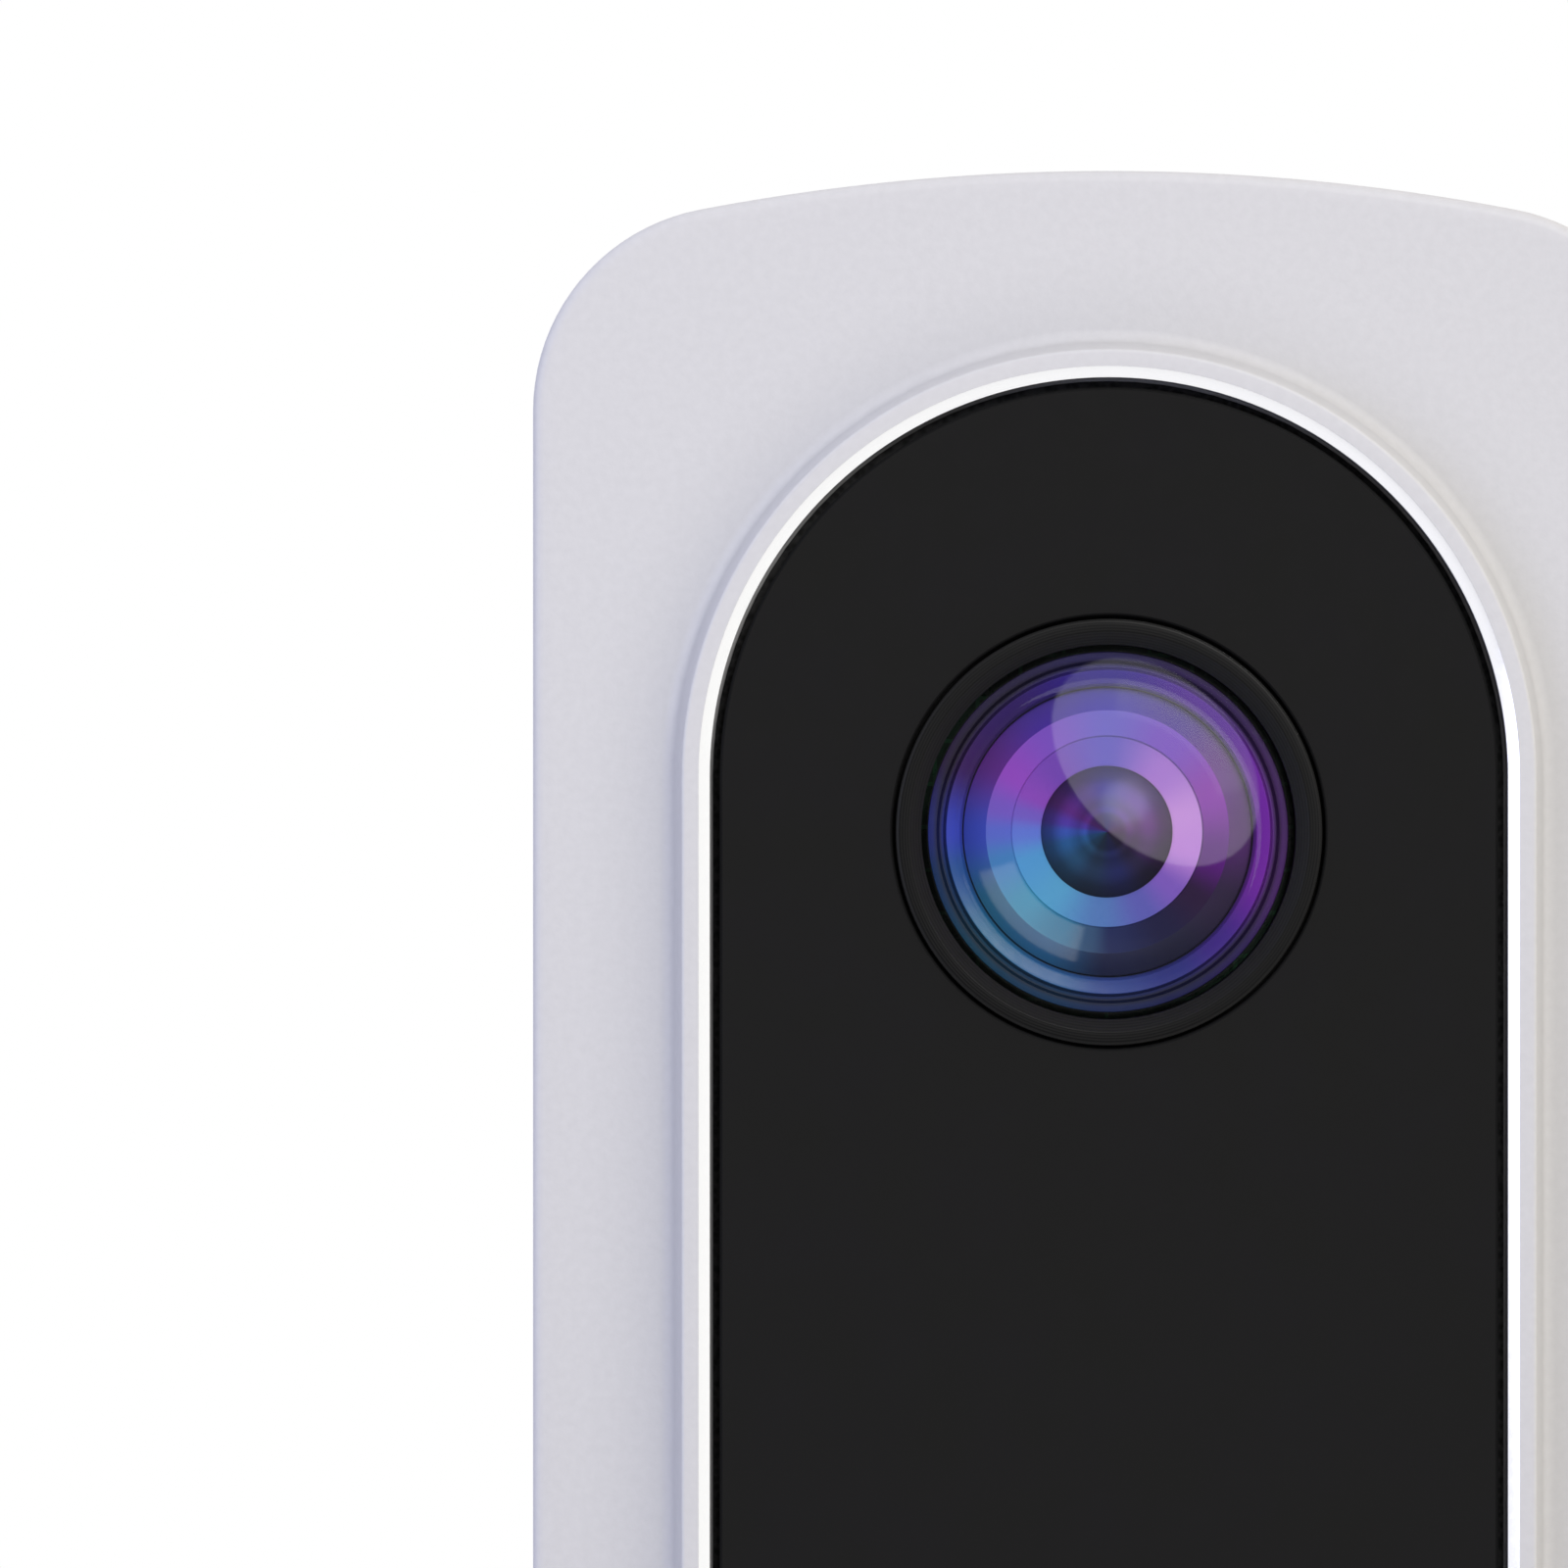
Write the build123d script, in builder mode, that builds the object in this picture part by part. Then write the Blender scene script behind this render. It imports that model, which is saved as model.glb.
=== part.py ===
from build123d import *
import os
from math import atan2, degrees, sqrt

# Video doorbell: a slim unit that lifts onto a wall bracket and is locked by one screw from below.
# X is across (right as seen by a visitor), Z is up, and the wall is the plane y = 0.
# Every depth below is a distance in front of the wall, so a depth d is the plane y = -d.
# Millimetres throughout.

# ---- driving dimensions -------------------------------------------------------------------------

WIDTH = 60.0                 # across the housing
HEIGHT = 136.0               # top of the crown to the bottom of the crown
CROWN_RADIUS = 113.3         # the gently arched top and bottom edges
CORNER_RADIUS = 10.7
WALL = 2.2                   # thickness of the moulded side walls
FRONT_EDGE_RADIUS = 0.6

HOUSING_BACK = 0.8           # depth of the skirt's back edge, just clear of the wall
FLOOR_BACK = 6.0             # depth of the floor behind the electronics
FLOOR_FRONT = 8.0
PARTING = 13.0               # rear housing and front shell meet here
FRONT_WALL_BACK = 22.0
FRONT_WALL = 24.0            # the flat white face
RIM_TOP = 26.0               # top of the raised rim round the black panel

PILL_HALF = 36.4             # centre of each round end of the black panel, above and below the middle
RIM_OUTER_R = 22.2           # outer edge of the rim's flat top
RIM_FOOT_R = 22.75           # the outer wall leans out to here
RIM_INNER_R = 20.7
RIM_BEVEL = 0.65
PANEL_R = 20.25
LEDGE_R = 18.6               # opening in the front wall behind the panel
PANEL_BACK = 24.2
PANEL_FRONT = 25.6

LENS_HEIGHT = 33.5           # lens axis above the middle
BUTTON_HEIGHT = -PILL_HALF   # bell button axis

BRACKET_HALF_WIDTH = 22.5
BRACKET_THICKNESS = 2.0
RAIL_HALF_WIDTH = 24.6
RAIL_BACK = 3.1
RAIL_FRONT = 4.9
SLIDE_CLEARANCE = 0.4
WALL_SCREW_SPACING = 84.0
WALL_SCREW_HOLE_R = 2.1

BOARD_BACK = 13.0            # main board
BOARD_FRONT = 14.2
BOARD_HALF_WIDTH = 24.0
BOARD_TOP = 50.0
BOARD_BOTTOM = -17.0

HOUSING_SCREW_X = 21.0
HOUSING_SCREW_Z = 57.0
BOARD_SCREW_X = 21.5
BOARD_SCREW_HEIGHTS = (-13.0, 44.0)

BUTTON_BOARD_BACK = 16.0
BUTTON_BOARD_FRONT = 17.2

os.makedirs("parts", exist_ok=True)


# ---- planes and outlines ------------------------------------------------------------------------


def facing(depth):
    """Plane parallel to the wall at a depth: local x is across, local y is up, extrusion is forward."""
    return Plane.XZ.offset(depth)


def level(height):
    """Horizontal plane at a height: local x is across, local y is the depth, extrusion is down."""
    return Plane(origin=(0, 0, height), x_dir=(1, 0, 0), z_dir=(0, 0, -1))


def forward_axis(height):
    """Axis square to the wall, through the centre line at a height."""
    return Axis((0, 0, height), (0, -1, 0))


def housing_outline(inset=0.0):
    """Outline of the housing seen from the front, moved inwards by an even inset."""
    half = WIDTH / 2
    shoulder = HEIGHT / 2 - CROWN_RADIUS + sqrt(CROWN_RADIUS**2 - half**2)
    with BuildSketch(mode=Mode.PRIVATE) as outline:
        with BuildLine():
            Line((-half, -shoulder), (-half, shoulder))
            ThreePointArc((-half, shoulder), (0, HEIGHT / 2), (half, shoulder))
            Line((half, shoulder), (half, -shoulder))
            ThreePointArc((half, -shoulder), (0, -HEIGHT / 2), (-half, -shoulder))
        make_face()
        fillet(outline.vertices(), CORNER_RADIUS)
        if inset:
            offset(amount=-inset, mode=Mode.REPLACE)
    return outline.sketch


def pill(radius):
    """Upright slot shape about the middle of the unit, with round ends of the given radius."""
    with BuildSketch(mode=Mode.PRIVATE) as shape:
        SlotCenterToCenter(2 * PILL_HALF, 2 * radius, rotation=90)
    return shape.sketch


def cap_radius(half_chord, rise):
    """Radius of the sphere whose cap has this half width and this height."""
    return (half_chord**2 + rise**2) / (2 * rise)


def finish(part, name):
    """Label a finished piece and write its file."""
    part.label = name
    export_step(part, f"parts/{name}.step")


outside = housing_outline()
inside = housing_outline(WALL)

# ---- wall bracket -------------------------------------------------------------------------------
# A moulded plate screwed to the wall. Two full-length rails hook the unit, and a foot at the bottom
# carries the weight and the locking screw. The window in the middle passes the bell wires.

BRACKET_INSET_TOP = 2.4
BRACKET_INSET_FOOT = 0.3
FOOT_TOP = -63.7
FOOT_FRONT = 5.7
WINDOW_WIDTH = 28.0
WINDOW_HEIGHT = 20.0
WINDOW_CORNER = 2.0
RAIL_TOP = 56.0
RAIL_BOTTOM = -58.0
RAIL_WEB = 2.2
LOCK_DEPTH = 4.1
LOCK_SCREW_R = 1.0
LOCK_THREAD_R = 1.05
LOCK_HEAD_R = 1.9
LOCK_RECESS_R = 2.05
LOCK_HEAD_LOW = -67.4
LOCK_HEAD_HIGH = -66.1
LOCK_TIP = -58.5

with BuildSketch(mode=Mode.PRIVATE) as bracket_shape:
    add(housing_outline(BRACKET_INSET_FOOT))
    with Locations((0, HEIGHT / 4)):
        Rectangle(WIDTH, HEIGHT / 2, mode=Mode.SUBTRACT)
    add(housing_outline(BRACKET_INSET_TOP))
    Rectangle(2 * BRACKET_HALF_WIDTH, HEIGHT, mode=Mode.INTERSECT)

with BuildPart() as wall_bracket:
    with BuildSketch(facing(0)):
        add(bracket_shape.sketch)
        RectangleRounded(WINDOW_WIDTH, WINDOW_HEIGHT, WINDOW_CORNER, mode=Mode.SUBTRACT)
        with GridLocations(0, WALL_SCREW_SPACING, 1, 2):
            Circle(WALL_SCREW_HOLE_R, mode=Mode.SUBTRACT)
    extrude(amount=BRACKET_THICKNESS)
    # rails: a web standing off the plate with an outward lip
    with BuildSketch(level(RAIL_TOP)):
        for side in (-1, 1):
            with BuildLine():
                Polyline(
                    (side * (BRACKET_HALF_WIDTH - RAIL_WEB), BRACKET_THICKNESS),
                    (side * BRACKET_HALF_WIDTH, BRACKET_THICKNESS),
                    (side * BRACKET_HALF_WIDTH, RAIL_BACK),
                    (side * RAIL_HALF_WIDTH, RAIL_BACK),
                    (side * RAIL_HALF_WIDTH, RAIL_FRONT),
                    (side * (BRACKET_HALF_WIDTH - RAIL_WEB), RAIL_FRONT),
                    close=True,
                )
            make_face()
    extrude(amount=RAIL_TOP - RAIL_BOTTOM)
    # foot that closes the open bottom of the unit's pocket
    with BuildSketch(facing(BRACKET_THICKNESS)):
        add(bracket_shape.sketch)
        with Locations((0, FOOT_TOP)):
            Rectangle(WIDTH, HEIGHT / 4, align=(Align.CENTER, Align.MAX), mode=Mode.INTERSECT)
    extrude(amount=FOOT_FRONT - BRACKET_THICKNESS)
    # threaded hole and head recess for the locking screw
    with BuildSketch(level(FOOT_TOP)):
        with Locations((0, LOCK_DEPTH)):
            Circle(LOCK_THREAD_R)
    extrude(amount=HEIGHT / 2 + FOOT_TOP, mode=Mode.SUBTRACT)
    with BuildSketch(level(LOCK_HEAD_HIGH)):
        with Locations((0, LOCK_DEPTH)):
            Circle(LOCK_RECESS_R)
    extrude(amount=HEIGHT / 2 + LOCK_HEAD_HIGH, mode=Mode.SUBTRACT)
finish(wall_bracket.part, "wall_bracket")

# ---- locking screw ------------------------------------------------------------------------------
# A small steel security screw. Its tip stands in a socket in the unit and keeps it from lifting.

LOCK_DRIVE_R = 0.85
LOCK_DRIVE_DEPTH = 0.8
LOCK_TIP_CHAMFER = 0.3

with BuildPart() as security_screw:
    with BuildSketch(level(LOCK_HEAD_HIGH)):
        with Locations((0, LOCK_DEPTH)):
            Circle(LOCK_HEAD_R)
    extrude(amount=LOCK_HEAD_HIGH - LOCK_HEAD_LOW)
    with BuildSketch(level(LOCK_TIP)):
        with Locations((0, LOCK_DEPTH)):
            Circle(LOCK_SCREW_R)
    extrude(amount=LOCK_TIP - LOCK_HEAD_HIGH)
    chamfer(security_screw.edges().group_by(Axis.Z)[-1], LOCK_TIP_CHAMFER)
    with BuildSketch(level(LOCK_HEAD_LOW + LOCK_DRIVE_DEPTH)):
        with Locations((0, LOCK_DEPTH)):
            RegularPolygon(LOCK_DRIVE_R, 6)
    extrude(amount=LOCK_DRIVE_DEPTH, mode=Mode.SUBTRACT)
finish(security_screw.part, "security_screw")

# ---- rear housing -------------------------------------------------------------------------------
# White moulded tray. Its back has a pocket that slides down over the bracket's rails, and its front
# half holds the battery, terminal block and speaker. Four screws join it to the front shell.

POCKET_HALF_WIDTH = RAIL_HALF_WIDTH + SLIDE_CLEARANCE
LEDGE_HALF_WIDTH = BRACKET_HALF_WIDTH + SLIDE_CLEARANCE
LEDGE_FRONT = RAIL_BACK - 0.25
POCKET_INSET = 2.0
POCKET_FOOT = 20.0
CORE_GROOVE_IN = 26.4
CORE_GROOVE_WIDTH = 1.4
CORE_GROOVE_LENGTH = 96.0
GROOVE_OUT = 0.8
GROOVE_IN = 1.5
GROOVE_DEPTH = 1.0
TERMINAL_WIDTH = 17.0
TERMINAL_HEIGHT = 10.0
LOCK_SOCKET_R = 1.25
LOCK_BOSS_HALF = 3.2
LOCK_BOSS_BACK = 2.4
LOCK_BOSS_LOW = -63.2
LOCK_BOSS_HIGH = -58.0
SCREW_R = 1.05
SCREW_CLEARANCE_R = 1.25
SCREW_HEAD_R = 2.1
SCREW_HEAD_HEIGHT = 1.2
SCREW_RECESS_R = 2.3
BOSS_R = 3.0
SLOT_PITCH = 4.6
SLOT_COUNT = 5
SLOT_LENGTH = 3.0
SLOT_WIDTH = 1.5
SLOT_DEPTH = 10.6
FIT_GAP = 0.05


def pocket(half_width):
    """Area of the pocket at the back of the unit, open at its lower end."""
    with BuildSketch(mode=Mode.PRIVATE) as area:
        add(housing_outline(POCKET_INSET))
        with Locations((0, -HEIGHT / 2 - WALL)):
            Rectangle(WIDTH, POCKET_FOOT, align=(Align.CENTER, Align.MIN))
        Rectangle(2 * half_width, 2 * HEIGHT, mode=Mode.INTERSECT)
    return area.sketch


with BuildPart() as rear_housing:
    with BuildSketch(facing(HOUSING_BACK)):
        add(outside)
    extrude(amount=PARTING - HOUSING_BACK)
    with BuildSketch(facing(FLOOR_FRONT)):
        add(inside)
    extrude(amount=PARTING - FLOOR_FRONT, mode=Mode.SUBTRACT)
    # groove for the gasket in the parting face
    with BuildSketch(facing(PARTING - GROOVE_DEPTH)):
        add(housing_outline(GROOVE_OUT))
        add(housing_outline(GROOVE_IN), mode=Mode.SUBTRACT)
    extrude(amount=GROOVE_DEPTH, mode=Mode.SUBTRACT)
    # pocket for the bracket, undercut for its rails
    with BuildSketch(facing(HOUSING_BACK)):
        add(pocket(LEDGE_HALF_WIDTH))
    extrude(amount=FLOOR_BACK - HOUSING_BACK, mode=Mode.SUBTRACT)
    with BuildSketch(facing(LEDGE_FRONT)):
        add(pocket(POCKET_HALF_WIDTH))
    extrude(amount=FLOOR_BACK - LEDGE_FRONT, mode=Mode.SUBTRACT)
    # grooves that core out the thick side walls of the skirt
    with BuildSketch(facing(HOUSING_BACK)):
        for side in (-1, 1):
            with Locations((side * (CORE_GROOVE_IN + CORE_GROOVE_WIDTH / 2), 0)):
                SlotOverall(CORE_GROOVE_LENGTH, CORE_GROOVE_WIDTH, rotation=90)
    extrude(amount=FLOOR_BACK - HOUSING_BACK, mode=Mode.SUBTRACT)
    # screw bosses
    with BuildSketch(facing(FLOOR_FRONT)):
        with GridLocations(2 * HOUSING_SCREW_X, 2 * HOUSING_SCREW_Z, 2, 2):
            Circle(BOSS_R)
    extrude(amount=PARTING - FLOOR_FRONT)
    with BuildSketch(facing(FLOOR_BACK)):
        with GridLocations(2 * HOUSING_SCREW_X, 2 * HOUSING_SCREW_Z, 2, 2):
            Circle(SCREW_CLEARANCE_R)
    extrude(amount=PARTING - FLOOR_BACK, mode=Mode.SUBTRACT)
    with BuildSketch(facing(FLOOR_BACK)):
        with GridLocations(2 * HOUSING_SCREW_X, 2 * HOUSING_SCREW_Z, 2, 2):
            Circle(SCREW_RECESS_R)
    extrude(amount=SCREW_HEAD_HEIGHT + FIT_GAP, mode=Mode.SUBTRACT)
    # window for the wire terminals
    with BuildSketch(facing(FLOOR_BACK)):
        Rectangle(TERMINAL_WIDTH + 2 * FIT_GAP, TERMINAL_HEIGHT + 2 * FIT_GAP)
    extrude(amount=FLOOR_FRONT - FLOOR_BACK, mode=Mode.SUBTRACT)
    # socket that the locking screw's tip stands in
    with BuildSketch(facing(LOCK_BOSS_BACK)):
        with Locations((0, (LOCK_BOSS_LOW + LOCK_BOSS_HIGH) / 2)):
            Rectangle(2 * LOCK_BOSS_HALF, LOCK_BOSS_HIGH - LOCK_BOSS_LOW)
    extrude(amount=FLOOR_BACK - LOCK_BOSS_BACK)
    with BuildSketch(level(LOCK_BOSS_HIGH)):
        with Locations((0, LOCK_DEPTH)):
            Circle(LOCK_SOCKET_R)
    extrude(amount=LOCK_BOSS_HIGH - LOCK_BOSS_LOW, mode=Mode.SUBTRACT)
    # sound slots in the bottom wall
    with BuildSketch(level(-HEIGHT / 2 + 2 * WALL)):
        with Locations((0, SLOT_DEPTH)):
            with GridLocations(SLOT_PITCH, 0, SLOT_COUNT, 1):
                SlotOverall(SLOT_LENGTH, SLOT_WIDTH)
    extrude(amount=2 * WALL, mode=Mode.SUBTRACT)
finish(rear_housing.part, "rear_housing")

# ---- front shell --------------------------------------------------------------------------------
# White moulded cover. A raised rim frames the black panel, which rests on a ledge inside it. A
# tongue on its back edge presses the gasket, and bosses behind its face take the screws.

RIM_EDGE_RADIUS = 0.25
RIM_COVE_RADIUS = 0.8
TONGUE_OUT = 0.9
TONGUE_IN = 1.4
TONGUE_HEIGHT = 0.35
BOARD_BOSS_R = 2.0
BOARD_SCREW_R = 0.8
BOARD_PILOT_R = 0.85
BOARD_SCREW_LENGTH = 5.0
PILOT_R = 1.1
HOUSING_SCREW_TIP = 20.0
PILOT_SPARE = 0.5
SETUP_HEIGHT = 6.0
SETUP_DEPTH = 17.5
SETUP_HOLE_R = 2.0

rim_lean = degrees(atan2(RIM_FOOT_R - RIM_OUTER_R, RIM_TOP - FRONT_WALL))

with BuildPart() as front_shell:
    with BuildSketch(facing(PARTING)):
        add(outside)
    extrude(amount=FRONT_WALL - PARTING)
    fillet(front_shell.edges().group_by(Axis.Y)[0], FRONT_EDGE_RADIUS)
    # raised rim: its outer wall leans and runs into the face with a cove
    with BuildSketch(facing(FRONT_WALL)):
        add(pill(RIM_FOOT_R))
    extrude(amount=RIM_TOP - FRONT_WALL, taper=rim_lean)
    front_faces = front_shell.faces().filter_by(Axis.Y).sort_by(Axis.Y)
    fillet(front_faces[0].outer_wire().edges(), RIM_EDGE_RADIUS)
    front_faces = front_shell.faces().filter_by(Axis.Y).sort_by(Axis.Y)
    fillet(front_faces[1].inner_wires().edges(), RIM_COVE_RADIUS)
    # recess for the panel, its bevelled mouth, and the opening behind it
    with BuildSketch(facing(FRONT_WALL)):
        add(pill(RIM_INNER_R))
    extrude(amount=RIM_TOP - FRONT_WALL, mode=Mode.SUBTRACT)
    rim_face = front_shell.faces().sort_by(Axis.Y)[0]
    chamfer(rim_face.inner_wires().edges(), RIM_BEVEL)
    with BuildSketch(facing(PARTING)):
        add(inside)
    extrude(amount=FRONT_WALL_BACK - PARTING, mode=Mode.SUBTRACT)
    with BuildSketch(facing(PARTING)):
        add(pill(LEDGE_R))
    extrude(amount=RIM_TOP - PARTING, mode=Mode.SUBTRACT)
    # tongue on the parting face
    with BuildSketch(facing(PARTING - TONGUE_HEIGHT)):
        add(housing_outline(TONGUE_OUT))
        add(housing_outline(TONGUE_IN), mode=Mode.SUBTRACT)
    extrude(amount=TONGUE_HEIGHT)
    # bosses for the four housing screws
    with BuildSketch(facing(PARTING)):
        with GridLocations(2 * HOUSING_SCREW_X, 2 * HOUSING_SCREW_Z, 2, 2):
            Circle(BOSS_R)
    extrude(amount=FRONT_WALL_BACK - PARTING)
    with BuildSketch(facing(PARTING)):
        with GridLocations(2 * HOUSING_SCREW_X, 2 * HOUSING_SCREW_Z, 2, 2):
            Circle(PILOT_R)
    extrude(amount=HOUSING_SCREW_TIP + PILOT_SPARE - PARTING, mode=Mode.SUBTRACT)
    # bosses that the main board is screwed to
    with BuildSketch(facing(BOARD_FRONT)):
        for height in BOARD_SCREW_HEIGHTS:
            with Locations((-BOARD_SCREW_X, height), (BOARD_SCREW_X, height)):
                Circle(BOARD_BOSS_R)
    extrude(amount=FRONT_WALL_BACK - BOARD_FRONT)
    with BuildSketch(facing(BOARD_FRONT)):
        for height in BOARD_SCREW_HEIGHTS:
            with Locations((-BOARD_SCREW_X, height), (BOARD_SCREW_X, height)):
                Circle(BOARD_PILOT_R)
    extrude(amount=BOARD_SCREW_LENGTH, mode=Mode.SUBTRACT)
    # hole for the setup button in the right side
    with BuildSketch(Plane.YZ.offset(WIDTH / 2 - 2 * WALL)):
        with Locations((-SETUP_DEPTH, SETUP_HEIGHT)):
            Circle(SETUP_HOLE_R)
    extrude(amount=2 * WALL, mode=Mode.SUBTRACT)
finish(front_shell.part, "front_shell")

# ---- gasket between the two housings ------------------------------------------------------------
# A silicone cord ring that lies in the rear housing's groove.

with BuildPart() as shell_gasket:
    with BuildSketch(facing(PARTING - GROOVE_DEPTH)):
        add(housing_outline(TONGUE_OUT))
        add(housing_outline(TONGUE_IN), mode=Mode.SUBTRACT)
    extrude(amount=GROOVE_DEPTH - TONGUE_HEIGHT)
finish(shell_gasket.part, "shell_gasket")

# ---- housing screws -----------------------------------------------------------------------------
# Four self-tapping screws driven from the back, sunk in the floor of the pocket.

SCREW_DRIVE_R = 1.0
SCREW_DRIVE_DEPTH = 0.8

with BuildPart() as housing_screws:
    with BuildSketch(facing(FLOOR_BACK)):
        with GridLocations(2 * HOUSING_SCREW_X, 2 * HOUSING_SCREW_Z, 2, 2):
            Circle(SCREW_HEAD_R)
    extrude(amount=SCREW_HEAD_HEIGHT)
    with BuildSketch(facing(FLOOR_BACK + SCREW_HEAD_HEIGHT)):
        with GridLocations(2 * HOUSING_SCREW_X, 2 * HOUSING_SCREW_Z, 2, 2):
            Circle(SCREW_R)
    extrude(amount=HOUSING_SCREW_TIP - FLOOR_BACK - SCREW_HEAD_HEIGHT)
    with BuildSketch(facing(FLOOR_BACK)):
        with GridLocations(2 * HOUSING_SCREW_X, 2 * HOUSING_SCREW_Z, 2, 2):
            RegularPolygon(SCREW_DRIVE_R, 6)
    extrude(amount=SCREW_DRIVE_DEPTH, mode=Mode.SUBTRACT)
finish(housing_screws.part, "housing_screws")

# ---- black front panel --------------------------------------------------------------------------
# Gloss black plastic window that infrared light passes. It is bored for the lens, the bell button
# and the microphone, and held to its ledge by an adhesive gasket.

TRIM_OUTER_R = 11.1
PANEL_LENS_HOLE_R = 11.25
RING_OUTER_R = 12.35
PANEL_BUTTON_HOLE_R = 12.5
MIC_HEIGHT = -14.0
MIC_HOLE_R = 0.55
PANEL_EDGE_RADIUS = 0.2

with BuildPart() as front_panel:
    with BuildSketch(facing(PANEL_BACK)):
        add(pill(PANEL_R))
    extrude(amount=PANEL_FRONT - PANEL_BACK)
    fillet(front_panel.edges().group_by(Axis.Y)[0], PANEL_EDGE_RADIUS)
    with BuildSketch(facing(PANEL_BACK)):
        with Locations((0, LENS_HEIGHT)):
            Circle(PANEL_LENS_HOLE_R)
        with Locations((0, BUTTON_HEIGHT)):
            Circle(PANEL_BUTTON_HOLE_R)
        with Locations((0, MIC_HEIGHT)):
            Circle(MIC_HOLE_R)
    extrude(amount=PANEL_FRONT - PANEL_BACK, mode=Mode.SUBTRACT)
finish(front_panel.part, "front_panel")

ADHESIVE_OUT_R = 20.6
ADHESIVE_IN_R = 18.8

with BuildPart() as panel_adhesive:
    with BuildSketch(facing(FRONT_WALL)):
        add(pill(ADHESIVE_OUT_R))
        add(pill(ADHESIVE_IN_R), mode=Mode.SUBTRACT)
    extrude(amount=PANEL_BACK - FRONT_WALL)
finish(panel_adhesive.part, "panel_adhesive")

# ---- lens trim ring -----------------------------------------------------------------------------
# Dark satin ring that lines the panel's lens hole. A flange behind the panel holds it.

TRIM_INNER_R = 9.75
TRIM_FLANGE_R = 12.9
TRIM_BACK = 22.7
TRIM_FLANGE_FRONT = 24.15
TRIM_TOP = 25.9
TRIM_EDGE = 0.2
TRIM_FUNNEL_R = 10.4
TRIM_FUNNEL_LOW = 25.2

with BuildPart() as lens_trim_ring:
    with BuildSketch(level(LENS_HEIGHT)):
        with BuildLine():
            Polyline(
                (TRIM_INNER_R, TRIM_BACK),
                (TRIM_FLANGE_R, TRIM_BACK),
                (TRIM_FLANGE_R, TRIM_FLANGE_FRONT),
                (TRIM_OUTER_R, TRIM_FLANGE_FRONT),
                (TRIM_OUTER_R, TRIM_TOP - TRIM_EDGE),
                (TRIM_OUTER_R - TRIM_EDGE, TRIM_TOP),
                (TRIM_FUNNEL_R, TRIM_TOP),
                (TRIM_INNER_R, TRIM_FUNNEL_LOW),
                close=True,
            )
        make_face()
    revolve(axis=forward_axis(LENS_HEIGHT))
finish(lens_trim_ring.part, "lens_trim_ring")

# ---- camera -------------------------------------------------------------------------------------
# A domed wide-angle lens: a coated front element on a black barrel, with a baffle, two smaller
# elements and an aperture inside. The barrel screws into a holder over the image sensor.

LENS_R = 9.5
LENS_BACK = 24.2
LENS_EDGE_FRONT = 25.2
LENS_APEX = 27.2
LENS_BOWL_R = 8.0
LENS_BOWL_TOP = 25.6
BARREL_FLANGE_R = 9.4
BARREL_HEAD_R = 8.9
BARREL_NECK_R = 6.9
BARREL_FLANGE_BACK = 23.2
BARREL_HEAD_BACK = 20.4
BARREL_BACK = 16.2
BORE_FRONT_R = 7.6
BORE_MIDDLE_R = 6.1
BORE_BACK_R = 4.1
BORE_FRONT_SEAT = 21.4
BORE_MIDDLE_SEAT = 18.2

dome_radius = cap_radius(LENS_R, LENS_APEX - LENS_EDGE_FRONT)
bowl_radius = cap_radius(LENS_BOWL_R, LENS_BOWL_TOP - LENS_BACK)

with BuildPart() as front_lens:
    with BuildSketch(level(LENS_HEIGHT)):
        with BuildLine():
            Line((0, LENS_BOWL_TOP), (0, LENS_APEX))
            RadiusArc((0, LENS_APEX), (LENS_R, LENS_EDGE_FRONT), dome_radius)
            Polyline((LENS_R, LENS_EDGE_FRONT), (LENS_R, LENS_BACK), (LENS_BOWL_R, LENS_BACK))
            RadiusArc((LENS_BOWL_R, LENS_BACK), (0, LENS_BOWL_TOP), -bowl_radius)
        make_face()
    revolve(axis=forward_axis(LENS_HEIGHT))
finish(front_lens.part, "front_lens")

with BuildPart() as lens_barrel:
    with BuildSketch(level(LENS_HEIGHT)):
        with BuildLine():
            Polyline(
                (BORE_FRONT_R, LENS_BACK),
                (BARREL_FLANGE_R, LENS_BACK),
                (BARREL_FLANGE_R, BARREL_FLANGE_BACK),
                (BARREL_HEAD_R, BARREL_FLANGE_BACK),
                (BARREL_HEAD_R, BARREL_HEAD_BACK),
                (BARREL_NECK_R, BARREL_HEAD_BACK),
                (BARREL_NECK_R, BARREL_BACK),
                (BORE_BACK_R, BARREL_BACK),
                (BORE_BACK_R, BORE_MIDDLE_SEAT),
                (BORE_MIDDLE_R, BORE_MIDDLE_SEAT),
                (BORE_MIDDLE_R, BORE_FRONT_SEAT),
                (BORE_FRONT_R, BORE_FRONT_SEAT),
                close=True,
            )
        make_face()
    revolve(axis=forward_axis(LENS_HEIGHT))
finish(lens_barrel.part, "lens_barrel")

BAFFLE_THROAT_R = 3.45
BAFFLE_THROAT = 21.45
BAFFLE_STEP_R = 4.95
BAFFLE_STEP = 22.3
BAFFLE_STEP_RISE = 0.2
BAFFLE_FRONT_R = 6.3
BAFFLE_FRONT = 23.0

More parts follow.
